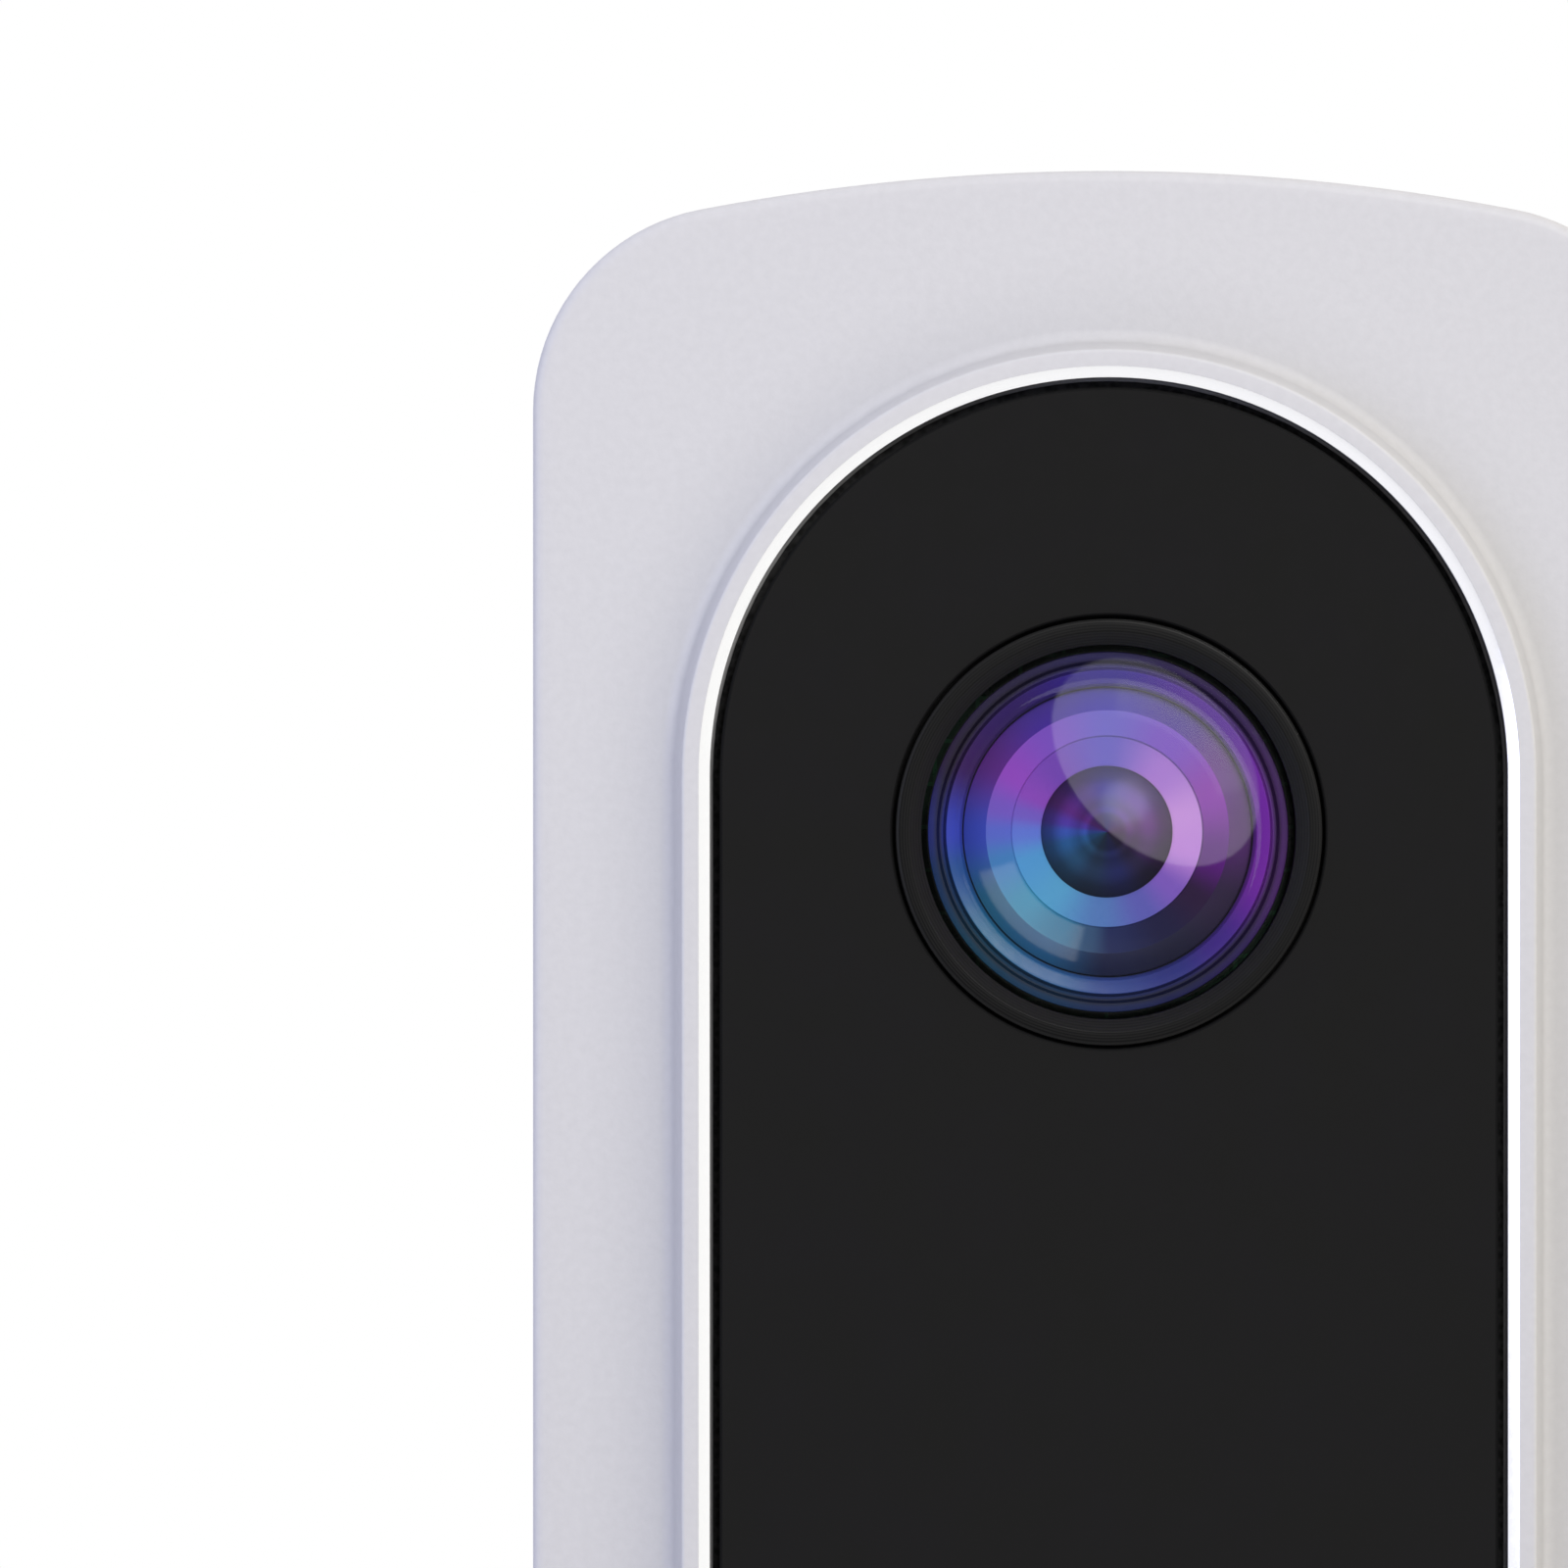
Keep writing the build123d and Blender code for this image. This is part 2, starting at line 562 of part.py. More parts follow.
with BuildPart() as lens_baffle:
    with BuildSketch(level(LENS_HEIGHT)):
        with BuildLine():
            Polyline(
                (BAFFLE_THROAT_R, BORE_FRONT_SEAT),
                (BORE_FRONT_R - FIT_GAP, BORE_FRONT_SEAT),
                (BORE_FRONT_R - FIT_GAP, BAFFLE_FRONT),
                (BAFFLE_FRONT_R, BAFFLE_FRONT),
                (BAFFLE_STEP_R, BAFFLE_STEP + BAFFLE_STEP_RISE),
                (BAFFLE_STEP_R, BAFFLE_STEP),
                (BAFFLE_THROAT_R, BAFFLE_THROAT),
                close=True,
            )
        make_face()
    revolve(axis=forward_axis(LENS_HEIGHT))
finish(lens_baffle.part, "lens_baffle")

SECOND_BACK = 19.25
SECOND_EDGE = 20.6
SECOND_DOME_R = 5.0
SECOND_APEX = 22.0

second_radius = cap_radius(SECOND_DOME_R, SECOND_APEX - SECOND_EDGE)

with BuildPart() as second_lens:
    with BuildSketch(level(LENS_HEIGHT)):
        with BuildLine():
            Polyline(
                (0, SECOND_APEX),
                (0, SECOND_BACK),
                (BORE_MIDDLE_R - FIT_GAP, SECOND_BACK),
                (BORE_MIDDLE_R - FIT_GAP, SECOND_EDGE),
                (SECOND_DOME_R, SECOND_EDGE),
            )
            RadiusArc((SECOND_DOME_R, SECOND_EDGE), (0, SECOND_APEX), -second_radius)
        make_face()
    revolve(axis=forward_axis(LENS_HEIGHT))
finish(second_lens.part, "second_lens")

APERTURE_R = 1.8
APERTURE_BACK = 18.75

with BuildPart() as aperture_ring:
    with BuildSketch(facing(APERTURE_BACK)):
        with Locations((0, LENS_HEIGHT)):
            Circle(BORE_MIDDLE_R - FIT_GAP)
            Circle(APERTURE_R, mode=Mode.SUBTRACT)
    extrude(amount=SECOND_BACK - APERTURE_BACK)
finish(aperture_ring.part, "aperture_ring")

THIRD_BACK = 16.6
THIRD_EDGE = 18.1
THIRD_APEX = 18.6
THIRD_R = BORE_BACK_R - FIT_GAP

third_radius = cap_radius(THIRD_R, THIRD_APEX - THIRD_EDGE)

with BuildPart() as third_lens:
    with BuildSketch(level(LENS_HEIGHT)):
        with BuildLine():
            Polyline(
                (0, THIRD_APEX),
                (0, THIRD_BACK),
                (THIRD_R, THIRD_BACK),
                (THIRD_R, THIRD_EDGE),
            )
            RadiusArc((THIRD_R, THIRD_EDGE), (0, THIRD_APEX), -third_radius)
        make_face()
    revolve(axis=forward_axis(LENS_HEIGHT))
finish(third_lens.part, "third_lens")

HOLDER_SIZE = 15.4
HOLDER_CORNER = 1.0
HOLDER_FRONT = 19.6
HOLDER_CAVITY = 9.2
HOLDER_CAVITY_FRONT = 15.5
FILTER_SIZE = 7.0
FILTER_WINDOW_R = 3.0
SENSOR_SIZE = 7.6
SENSOR_HEIGHT = 0.9

with BuildPart() as lens_holder:
    with BuildSketch(facing(BOARD_FRONT)):
        with Locations((0, LENS_HEIGHT)):
            RectangleRounded(HOLDER_SIZE, HOLDER_SIZE, HOLDER_CORNER)
    extrude(amount=HOLDER_FRONT - BOARD_FRONT)
    with BuildSketch(facing(BARREL_BACK)):
        with Locations((0, LENS_HEIGHT)):
            Circle(BARREL_NECK_R + FIT_GAP)
    extrude(amount=HOLDER_FRONT - BARREL_BACK, mode=Mode.SUBTRACT)
    with BuildSketch(facing(BOARD_FRONT)):
        with Locations((0, LENS_HEIGHT)):
            Rectangle(HOLDER_CAVITY, HOLDER_CAVITY)
    extrude(amount=HOLDER_CAVITY_FRONT - BOARD_FRONT, mode=Mode.SUBTRACT)
    with BuildSketch(facing(HOLDER_CAVITY_FRONT)):
        with Locations((0, LENS_HEIGHT)):
            Circle(FILTER_WINDOW_R)
    extrude(amount=BARREL_BACK - HOLDER_CAVITY_FRONT, mode=Mode.SUBTRACT)
finish(lens_holder.part, "lens_holder")

with BuildPart() as image_sensor:
    with BuildSketch(facing(BOARD_FRONT)):
        with Locations((0, LENS_HEIGHT)):
            Rectangle(SENSOR_SIZE, SENSOR_SIZE)
    extrude(amount=SENSOR_HEIGHT)
finish(image_sensor.part, "image_sensor")

with BuildPart() as infrared_filter:
    with BuildSketch(facing(BOARD_FRONT + SENSOR_HEIGHT)):
        with Locations((0, LENS_HEIGHT)):
            Rectangle(FILTER_SIZE, FILTER_SIZE)
    extrude(amount=HOLDER_CAVITY_FRONT - BOARD_FRONT - SENSOR_HEIGHT)
finish(infrared_filter.part, "infrared_filter")

# ---- night lights -------------------------------------------------------------------------------
# A small board round the lens, hidden by the black panel, with six infrared lamps and a light
# sensor. A stacking connector joins it to the main board.

LIGHT_BOARD_BACK = 20.0
LIGHT_BOARD_FRONT = 21.0
LIGHT_BOARD_R = 17.2
LIGHT_BOARD_HOLE_R = 9.3
LAMP_RING_R = 14.6
LAMP_COUNT = 6
LAMP_SIZE = 3.0
LAMP_BODY = 0.9
LAMP_DOME_R = 1.2

with BuildPart() as night_light_board:
    with BuildSketch(facing(LIGHT_BOARD_BACK)):
        with Locations((0, LENS_HEIGHT)):
            Circle(LIGHT_BOARD_R)
            Circle(LIGHT_BOARD_HOLE_R, mode=Mode.SUBTRACT)
    extrude(amount=LIGHT_BOARD_FRONT - LIGHT_BOARD_BACK)
finish(night_light_board.part, "night_light_board")

with BuildPart() as night_lamps:
    with BuildSketch(facing(LIGHT_BOARD_FRONT)):
        with Locations((0, LENS_HEIGHT)):
            with PolarLocations(LAMP_RING_R, LAMP_COUNT):
                Rectangle(LAMP_SIZE, LAMP_SIZE)
    extrude(amount=LAMP_BODY)
    with BuildSketch(facing(LIGHT_BOARD_FRONT + LAMP_BODY)):
        with Locations((0, LENS_HEIGHT)):
            with PolarLocations(LAMP_RING_R, LAMP_COUNT):
                Circle(LAMP_DOME_R)
    extrude(amount=LAMP_BODY)
    fillet(night_lamps.edges().group_by(Axis.Y)[0], LAMP_BODY / 2)
finish(night_lamps.part, "night_lamps")

LIGHT_SENSOR_ANGLE = 30.0
LIGHT_SENSOR_SIZE = (2.0, 2.6)

with BuildPart() as light_sensor:
    with BuildSketch(facing(LIGHT_BOARD_FRONT)):
        with Locations((0, LENS_HEIGHT)):
            with PolarLocations(LAMP_RING_R, 1, start_angle=LIGHT_SENSOR_ANGLE):
                Rectangle(*LIGHT_SENSOR_SIZE)
    extrude(amount=LAMP_BODY)
finish(light_sensor.part, "light_sensor")

CONNECTOR_LENGTH = 12.0
CONNECTOR_WIDTH = 3.2
CONNECTOR_DROP = 12.8
CONNECTOR_CHAMFER = 0.4

with BuildPart() as board_connector:
    with BuildSketch(facing(BOARD_FRONT)):
        with Locations((0, LENS_HEIGHT - CONNECTOR_DROP)):
            Rectangle(CONNECTOR_LENGTH, CONNECTOR_WIDTH)
    extrude(amount=LIGHT_BOARD_BACK - BOARD_FRONT)
    chamfer(board_connector.edges().filter_by(Axis.Y), CONNECTOR_CHAMFER)
finish(board_connector.part, "board_connector")

# ---- main board ---------------------------------------------------------------------------------
# A green board screwed to four bosses of the front shell, with the processor and its memory, the
# shielded radio, and the power parts.

BOARD_CORNER = 2.0
BOARD_SCREW_HOLE_R = BOARD_SCREW_R + 0.1

with BuildPart() as main_board:
    with BuildSketch(facing(BOARD_BACK)):
        with Locations((0, (BOARD_TOP + BOARD_BOTTOM) / 2)):
            RectangleRounded(2 * BOARD_HALF_WIDTH, BOARD_TOP - BOARD_BOTTOM, BOARD_CORNER)
        for height in BOARD_SCREW_HEIGHTS:
            with Locations((-BOARD_SCREW_X, height), (BOARD_SCREW_X, height)):
                Circle(BOARD_SCREW_HOLE_R, mode=Mode.SUBTRACT)
    extrude(amount=BOARD_FRONT - BOARD_BACK)
finish(main_board.part, "main_board")

BOARD_SCREW_HEAD_R = 1.6
BOARD_SCREW_HEAD = 0.9

with BuildPart() as board_screws:
    with BuildSketch(facing(BOARD_BACK - BOARD_SCREW_HEAD)):
        for height in BOARD_SCREW_HEIGHTS:
            with Locations((-BOARD_SCREW_X, height), (BOARD_SCREW_X, height)):
                Circle(BOARD_SCREW_HEAD_R)
    extrude(amount=BOARD_SCREW_HEAD)
    with BuildSketch(facing(BOARD_BACK)):
        for height in BOARD_SCREW_HEIGHTS:
            with Locations((-BOARD_SCREW_X, height), (BOARD_SCREW_X, height)):
                Circle(BOARD_SCREW_R)
    extrude(amount=BOARD_SCREW_LENGTH)
finish(board_screws.part, "board_screws")

CHIP_HEIGHT = 1.2
PROCESSOR_AT = (-12.0, -7.0)
PROCESSOR_SIZE = 12.0
MEMORY_AT = (-13.0, -5.0)
MEMORY_SIZE = (9.0, 11.0)
SHIELD_AT = (-13.0, 10.5)
SHIELD_SIZE = (15.0, 17.0)
SHIELD_HEIGHT = 2.2
SHEET_METAL = 0.2
ANTENNA_HEIGHT_UP = 61.5
ANTENNA_SIZE = (28.0, 4.0)
ANTENNA_THICKNESS = 0.3
INDUCTOR_AT = ((7.0, 13.0), (7.0, 4.0))
INDUCTOR_SIZE = 6.5
INDUCTOR_HEIGHT = 3.2
CAPACITOR_AT = ((16.0, 18.0), (16.0, 10.0))
CAPACITOR_R = 3.1
CAPACITOR_HEIGHT = 5.6
PAD_THICKNESS = 0.6
SPREADER_AT = (-4.0, -7.0)
SPREADER_SIZE = (34.0, 17.0)
SPREADER_FRONT = BOARD_BACK - CHIP_HEIGHT - PAD_THICKNESS
SPREADER_BACK = 10.6
SMALL_CORNER = 0.6

with BuildPart() as processor:
    with BuildSketch(facing(BOARD_BACK - CHIP_HEIGHT)):
        with Locations(PROCESSOR_AT):
            Rectangle(PROCESSOR_SIZE, PROCESSOR_SIZE)
    extrude(amount=CHIP_HEIGHT)
finish(processor.part, "processor")

with BuildPart() as memory_chip:
    with BuildSketch(facing(BOARD_FRONT)):
        with Locations(MEMORY_AT):
            Rectangle(*MEMORY_SIZE)
    extrude(amount=CHIP_HEIGHT)
finish(memory_chip.part, "memory_chip")

with BuildPart() as radio_shield:
    with BuildSketch(facing(BOARD_FRONT)):
        with Locations(SHIELD_AT):
            RectangleRounded(*SHIELD_SIZE, SMALL_CORNER)
    extrude(amount=SHIELD_HEIGHT)
    offset(amount=-SHEET_METAL, openings=radio_shield.faces().sort_by(Axis.Y)[-1])
finish(radio_shield.part, "radio_shield")

with BuildPart() as radio_antenna:
    with BuildSketch(facing(FRONT_WALL_BACK - ANTENNA_THICKNESS)):
        with Locations((0, ANTENNA_HEIGHT_UP)):
            RectangleRounded(*ANTENNA_SIZE, SMALL_CORNER)
    extrude(amount=ANTENNA_THICKNESS)
finish(radio_antenna.part, "radio_antenna")

with BuildPart() as power_inductors:
    with BuildSketch(facing(BOARD_FRONT)):
        with Locations(*INDUCTOR_AT):
            RectangleRounded(INDUCTOR_SIZE, INDUCTOR_SIZE, SMALL_CORNER)
    extrude(amount=INDUCTOR_HEIGHT)
    fillet(power_inductors.edges().group_by(Axis.Y)[0], SMALL_CORNER / 2)
finish(power_inductors.part, "power_inductors")

with BuildPart() as capacitors:
    with BuildSketch(facing(BOARD_FRONT)):
        with Locations(*CAPACITOR_AT):
            Circle(CAPACITOR_R)
    extrude(amount=CAPACITOR_HEIGHT)
    fillet(capacitors.edges().group_by(Axis.Y)[0], SMALL_CORNER / 2)
finish(capacitors.part, "capacitors")

with BuildPart() as thermal_pad:
    with BuildSketch(facing(SPREADER_FRONT)):
        with Locations(PROCESSOR_AT):
            Rectangle(PROCESSOR_SIZE, PROCESSOR_SIZE)
    extrude(amount=PAD_THICKNESS)
finish(thermal_pad.part, "thermal_pad")

with BuildPart() as heat_spreader:
    with BuildSketch(facing(SPREADER_BACK)):
        with Locations(SPREADER_AT):
            RectangleRounded(*SPREADER_SIZE, SMALL_CORNER)
    extrude(amount=SPREADER_FRONT - SPREADER_BACK)
finish(heat_spreader.part, "heat_spreader")

# ---- backup battery -----------------------------------------------------------------------------
# A foil pouch cell on the rear housing's floor, held down by a foam pad under the main board.

BATTERY_WIDTH = 34.0
BATTERY_HEIGHT = 36.0
BATTERY_MIDDLE = 28.0
BATTERY_FRONT = 12.2
BATTERY_CORNER = 2.0
BATTERY_EDGE = 1.0
FOAM_SIZE = (28.0, 28.0)

with BuildPart() as backup_battery:
    with BuildSketch(facing(FLOOR_FRONT)):
        with Locations((0, BATTERY_MIDDLE)):
            RectangleRounded(BATTERY_WIDTH, BATTERY_HEIGHT, BATTERY_CORNER)
    extrude(amount=BATTERY_FRONT - FLOOR_FRONT)
    fillet(backup_battery.edges().group_by(Axis.Y)[0], BATTERY_EDGE)
finish(backup_battery.part, "backup_battery")

with BuildPart() as battery_foam:
    with BuildSketch(facing(BATTERY_FRONT)):
        with Locations((0, BATTERY_MIDDLE)):
            Rectangle(*FOAM_SIZE)
    extrude(amount=BOARD_BACK - BATTERY_FRONT)
finish(battery_foam.part, "battery_foam")

# ---- bell button --------------------------------------------------------------------------------
# A round cap in a translucent light ring. Its stem presses the plunger of a switch on a round board
# behind it; a rubber ring keeps rain out.

CAP_R = 10.6
CAP_BACK = 21.6
CAP_RIM = 25.6
CAP_DISH = 0.7
CAP_WEB_BACK = 23.2
CAP_WALL = 1.2
CAP_EDGE_RADIUS = 0.3
STEM_R = 2.0
PLUNGER_R = 1.5
PLUNGER_FRONT = 20.4
PLUNGER_BACK = 18.8
PLUNGER_GUIDE_R = 1.56
SWITCH_SIZE = 6.2
SWITCH_FRONT = 19.4
PRESS_TRAVEL = 0.6
PLUNGER_SPARE = 0.2
PLUNGER_EDGE_RADIUS = 0.2
STEM_GAP = 0.02
ICON_BACK = 24.7
ICON_THICKNESS = 0.25
RING_INNER_R = 10.9
RING_FLANGE_R = 13.4
RING_BACK = 22.4
RING_FLANGE_FRONT = 24.1
RING_TOP = 25.75
RING_EDGE_RADIUS = 0.2
SEAL_INNER_R = 8.4
SEAL_BACK = 19.8
SEAL_WEB_FRONT = 20.6
BUTTON_BOARD_R = 13.5
RING_LAMP_R = 11.8
RING_LAMP_COUNT = 8
RING_LAMP_SIZE = (1.6, 2.4)
RING_LAMP_HEIGHT = 0.8
BELL_R = 2.3
BELL_FLARE = 3.4
BELL_LIP = 0.6
CLAPPER_R = 0.9
CLAPPER_GAP = 0.4


def bell_sign():
    """Plain pictogram of a hand bell: a dome with flared sides and a clapper below it."""
    with BuildSketch(mode=Mode.PRIVATE) as sign:
        with BuildLine():
            Line((-BELL_FLARE, -BELL_R - BELL_LIP), (BELL_FLARE, -BELL_R - BELL_LIP))
            Line((BELL_FLARE, -BELL_R - BELL_LIP), (BELL_FLARE, -BELL_R))
            Line((BELL_FLARE, -BELL_R), (BELL_R, 0))
            ThreePointArc((BELL_R, 0), (0, BELL_R), (-BELL_R, 0))
            Line((-BELL_R, 0), (-BELL_FLARE, -BELL_R))
            Line((-BELL_FLARE, -BELL_R), (-BELL_FLARE, -BELL_R - BELL_LIP))
        make_face()
        with Locations((0, -BELL_R - BELL_LIP - CLAPPER_GAP - CLAPPER_R)):
            Circle(CLAPPER_R)
    return sign.sketch


with BuildPart() as button_cap:
    with BuildSketch(level(BUTTON_HEIGHT)):
        with BuildLine():
            Polyline(
                (CAP_R, CAP_RIM),
                (CAP_R, CAP_BACK),
                (CAP_R - CAP_WALL, CAP_BACK),
                (CAP_R - CAP_WALL, CAP_WEB_BACK),
                (STEM_R, CAP_WEB_BACK),
                (STEM_R, PLUNGER_FRONT + STEM_GAP),
                (0, PLUNGER_FRONT + STEM_GAP),
                (0, CAP_RIM - CAP_DISH),
            )
            RadiusArc((0, CAP_RIM - CAP_DISH), (CAP_R, CAP_RIM), -cap_radius(CAP_R, CAP_DISH))
        make_face()
    revolve(axis=forward_axis(BUTTON_HEIGHT))
    fillet(button_cap.edges().group_by(Axis.Y)[0], CAP_EDGE_RADIUS)
    # shallow recess for the inlaid bell sign
    with BuildSketch(facing(ICON_BACK)):
        with Locations((0, BUTTON_HEIGHT)):
            add(bell_sign())
    extrude(amount=CAP_RIM - ICON_BACK, mode=Mode.SUBTRACT)
finish(button_cap.part, "button_cap")

with BuildPart() as button_sign:
    with BuildSketch(facing(ICON_BACK)):
        with Locations((0, BUTTON_HEIGHT)):
            add(bell_sign())
    extrude(amount=ICON_THICKNESS)
finish(button_sign.part, "button_sign")

with BuildPart() as light_ring:
    with BuildSketch(level(BUTTON_HEIGHT)):
        with BuildLine():
            Polyline(
                (RING_INNER_R, RING_BACK),
                (RING_FLANGE_R, RING_BACK),
                (RING_FLANGE_R, RING_FLANGE_FRONT),
                (RING_OUTER_R, RING_FLANGE_FRONT),
                (RING_OUTER_R, RING_TOP),
                (RING_INNER_R, RING_TOP),
                close=True,
            )
        make_face()
    revolve(axis=forward_axis(BUTTON_HEIGHT))
    fillet(light_ring.edges().group_by(Axis.Y)[0], RING_EDGE_RADIUS)
finish(light_ring.part, "light_ring")

with BuildPart() as button_seal:
    with BuildSketch(level(BUTTON_HEIGHT)):
        with BuildLine():
            Polyline(
                (SEAL_INNER_R, SEAL_BACK),
                (RING_FLANGE_R, SEAL_BACK),
                (RING_FLANGE_R, RING_BACK),
                (RING_INNER_R, RING_BACK),
                (RING_INNER_R, SEAL_WEB_FRONT),
                (SEAL_INNER_R, SEAL_WEB_FRONT),
                close=True,
            )
        make_face()
    revolve(axis=forward_axis(BUTTON_HEIGHT))
finish(button_seal.part, "button_seal")

with BuildPart() as button_board:
    with BuildSketch(facing(BUTTON_BOARD_BACK)):
        with Locations((0, BUTTON_HEIGHT)):
            Circle(BUTTON_BOARD_R)
    extrude(amount=BUTTON_BOARD_FRONT - BUTTON_BOARD_BACK)
finish(button_board.part, "button_board")

with BuildPart() as ring_lamps:
    with BuildSketch(facing(BUTTON_BOARD_FRONT)):
        with Locations((0, BUTTON_HEIGHT)):
            with PolarLocations(RING_LAMP_R, RING_LAMP_COUNT):
                Rectangle(*RING_LAMP_SIZE)
    extrude(amount=RING_LAMP_HEIGHT)
finish(ring_lamps.part, "ring_lamps")

with BuildPart() as bell_switch:
    with BuildSketch(facing(BUTTON_BOARD_FRONT)):
        with Locations((0, BUTTON_HEIGHT)):
            RectangleRounded(SWITCH_SIZE, SWITCH_SIZE, SMALL_CORNER)
    extrude(amount=SWITCH_FRONT - BUTTON_BOARD_FRONT)
    with BuildSketch(facing(PLUNGER_BACK - PRESS_TRAVEL - PLUNGER_SPARE)):
        with Locations((0, BUTTON_HEIGHT)):
            Circle(PLUNGER_GUIDE_R)
    extrude(amount=SWITCH_FRONT, mode=Mode.SUBTRACT)
finish(bell_switch.part, "bell_switch")

with BuildPart() as switch_plunger:
    with BuildSketch(facing(PLUNGER_BACK)):
        with Locations((0, BUTTON_HEIGHT)):
            Circle(PLUNGER_R)
    extrude(amount=PLUNGER_FRONT - PLUNGER_BACK)
    fillet(switch_plunger.edges().group_by(Axis.Y)[0], PLUNGER_EDGE_RADIUS)
finish(switch_plunger.part, "switch_plunger")

# ---- flexible cable between the boards ----------------------------------------------------------
# A flat printed strip, soldered to the front of the main board and to the back of the button board.

FLEX_THICKNESS = 0.3
FLEX_WIDTH = 7.0
FLEX_EDGE = 3.0
FLEX_LAND = 6.0
FLEX_OVERHANG = 2.0
FLEX_BEND = 1.0

flex_main = -BOARD_FRONT - FLEX_THICKNESS / 2
flex_button = -BUTTON_BOARD_BACK + FLEX_THICKNESS / 2
button_board_top = BUTTON_HEIGHT + BUTTON_BOARD_R

with BuildPart() as flex_cable:
    with BuildSketch(Plane.YZ.offset(FLEX_EDGE)):
        with BuildLine():
            FilletPolyline(
                (flex_main, BOARD_BOTTOM + FLEX_LAND),
                (flex_main, BOARD_BOTTOM - FLEX_OVERHANG),
                (flex_button, button_board_top - FLEX_OVERHANG / 2),
                (flex_button, button_board_top - FLEX_LAND),
                radius=FLEX_BEND,
            )
        trace(line_width=FLEX_THICKNESS)
    extrude(amount=FLEX_WIDTH)
finish(flex_cable.part, "flex_cable")

# ---- microphone ---------------------------------------------------------------------------------
# A small metal-capped microphone on the main board, joined to the panel's pinhole by a rubber boot.

MIC_SIZE = (4.0, 3.0)
MIC_THICKNESS = 1.1
BOOT_OUTER_R = 2.3
BOOT_INNER_R = 0.8

with BuildPart() as microphone:
    with BuildSketch(facing(BOARD_FRONT)):
        with Locations((0, MIC_HEIGHT)):
            Rectangle(*MIC_SIZE)
    extrude(amount=MIC_THICKNESS)
finish(microphone.part, "microphone")

with BuildPart() as microphone_boot:
    with BuildSketch(facing(BOARD_FRONT + MIC_THICKNESS)):
        with Locations((0, MIC_HEIGHT)):
            Circle(BOOT_OUTER_R)
            Circle(BOOT_INNER_R, mode=Mode.SUBTRACT)
    extrude(amount=PANEL_BACK - BOARD_FRONT - MIC_THICKNESS)
finish(microphone_boot.part, "microphone_boot")

# ---- speaker ------------------------------------------------------------------------------------
# A small oblong speaker that faces down. A foam gasket seals it to the bottom wall round the sound
# slots, and a steel mesh inside the slots keeps insects out.

SPEAKER_WIDTH = 30.0
SPEAKER_BACK = 8.2
SPEAKER_FRONT = 15.6
SPEAKER_TOP = -57.0
SPEAKER_BOTTOM = -63.4
SPEAKER_RIM = 1.2
CONE_TOP = -62.4
CONE_THICKNESS = 0.35
MAGNET_WIDTH = 16.0
MAGNET_DEPTH = 3.6
MESH_THICKNESS = 0.2
MAGNET_GAP = 1.0
SPEAKER_CORNER = 1.0

speaker_middle = (SPEAKER_BACK + SPEAKER_FRONT) / 2
speaker_depth = SPEAKER_FRONT - SPEAKER_BACK

with BuildPart() as speaker_frame:
    with BuildSketch(level(SPEAKER_TOP)):
        with Locations((0, speaker_middle)):
            RectangleRounded(SPEAKER_WIDTH, speaker_depth, SPEAKER_CORNER)
    extrude(amount=SPEAKER_TOP - SPEAKER_BOTTOM)
    with BuildSketch(level(SPEAKER_TOP - SPEAKER_RIM)):
        with Locations((0, speaker_middle)):
            RectangleRounded(SPEAKER_WIDTH - 2 * SPEAKER_RIM, speaker_depth - 2 * SPEAKER_RIM, SMALL_CORNER)
    extrude(amount=SPEAKER_TOP - SPEAKER_RIM - SPEAKER_BOTTOM, mode=Mode.SUBTRACT)
finish(speaker_frame.part, "speaker_frame")

with BuildPart() as speaker_magnet:
    with BuildSketch(level(SPEAKER_TOP - SPEAKER_RIM)):
        with Locations((0, speaker_middle)):
            RectangleRounded(MAGNET_WIDTH, MAGNET_DEPTH, SMALL_CORNER)
    extrude(amount=SPEAKER_TOP - SPEAKER_RIM - CONE_TOP - MAGNET_GAP)
finish(speaker_magnet.part, "speaker_magnet")

with BuildPart() as speaker_cone:
    with BuildSketch(level(CONE_TOP)):
        with Locations((0, speaker_middle)):
            RectangleRounded(SPEAKER_WIDTH - 2 * SPEAKER_RIM, speaker_depth - 2 * SPEAKER_RIM, SMALL_CORNER)
    extrude(amount=CONE_THICKNESS)
finish(speaker_cone.part, "speaker_cone")

with BuildPart() as speaker_gasket:
    with BuildSketch(facing(SPEAKER_BACK)):
        add(housing_outline(WALL + MESH_THICKNESS))
        with Locations((0, SPEAKER_BOTTOM)):
            Rectangle(SPEAKER_WIDTH, HEIGHT / 4, align=(Align.CENTER, Align.MAX), mode=Mode.INTERSECT)
    extrude(amount=PARTING - SPEAKER_BACK)
    with BuildSketch(level(SPEAKER_BOTTOM)):
        with Locations((0, speaker_middle)):
            Rectangle(SPEAKER_WIDTH - 2 * SPEAKER_RIM, speaker_depth - 2 * SPEAKER_RIM)
    extrude(amount=HEIGHT / 2 + SPEAKER_BOTTOM, mode=Mode.SUBTRACT)
finish(speaker_gasket.part, "speaker_gasket")

with BuildPart() as speaker_mesh:
    with BuildSketch(facing(SPEAKER_BACK)):
        add(inside)
        add(housing_outline(WALL + MESH_THICKNESS), mode=Mode.SUBTRACT)
        with Locations((0, SPEAKER_BOTTOM)):
            Rectangle(SPEAKER_WIDTH, HEIGHT / 4, align=(Align.CENTER, Align.MAX), mode=Mode.INTERSECT)
    extrude(amount=PARTING - SPEAKER_BACK)
finish(speaker_mesh.part, "speaker_mesh")

# ---- wire terminals -----------------------------------------------------------------------------
# A black block set in the rear housing's window, with two screws that clamp the bell wires.

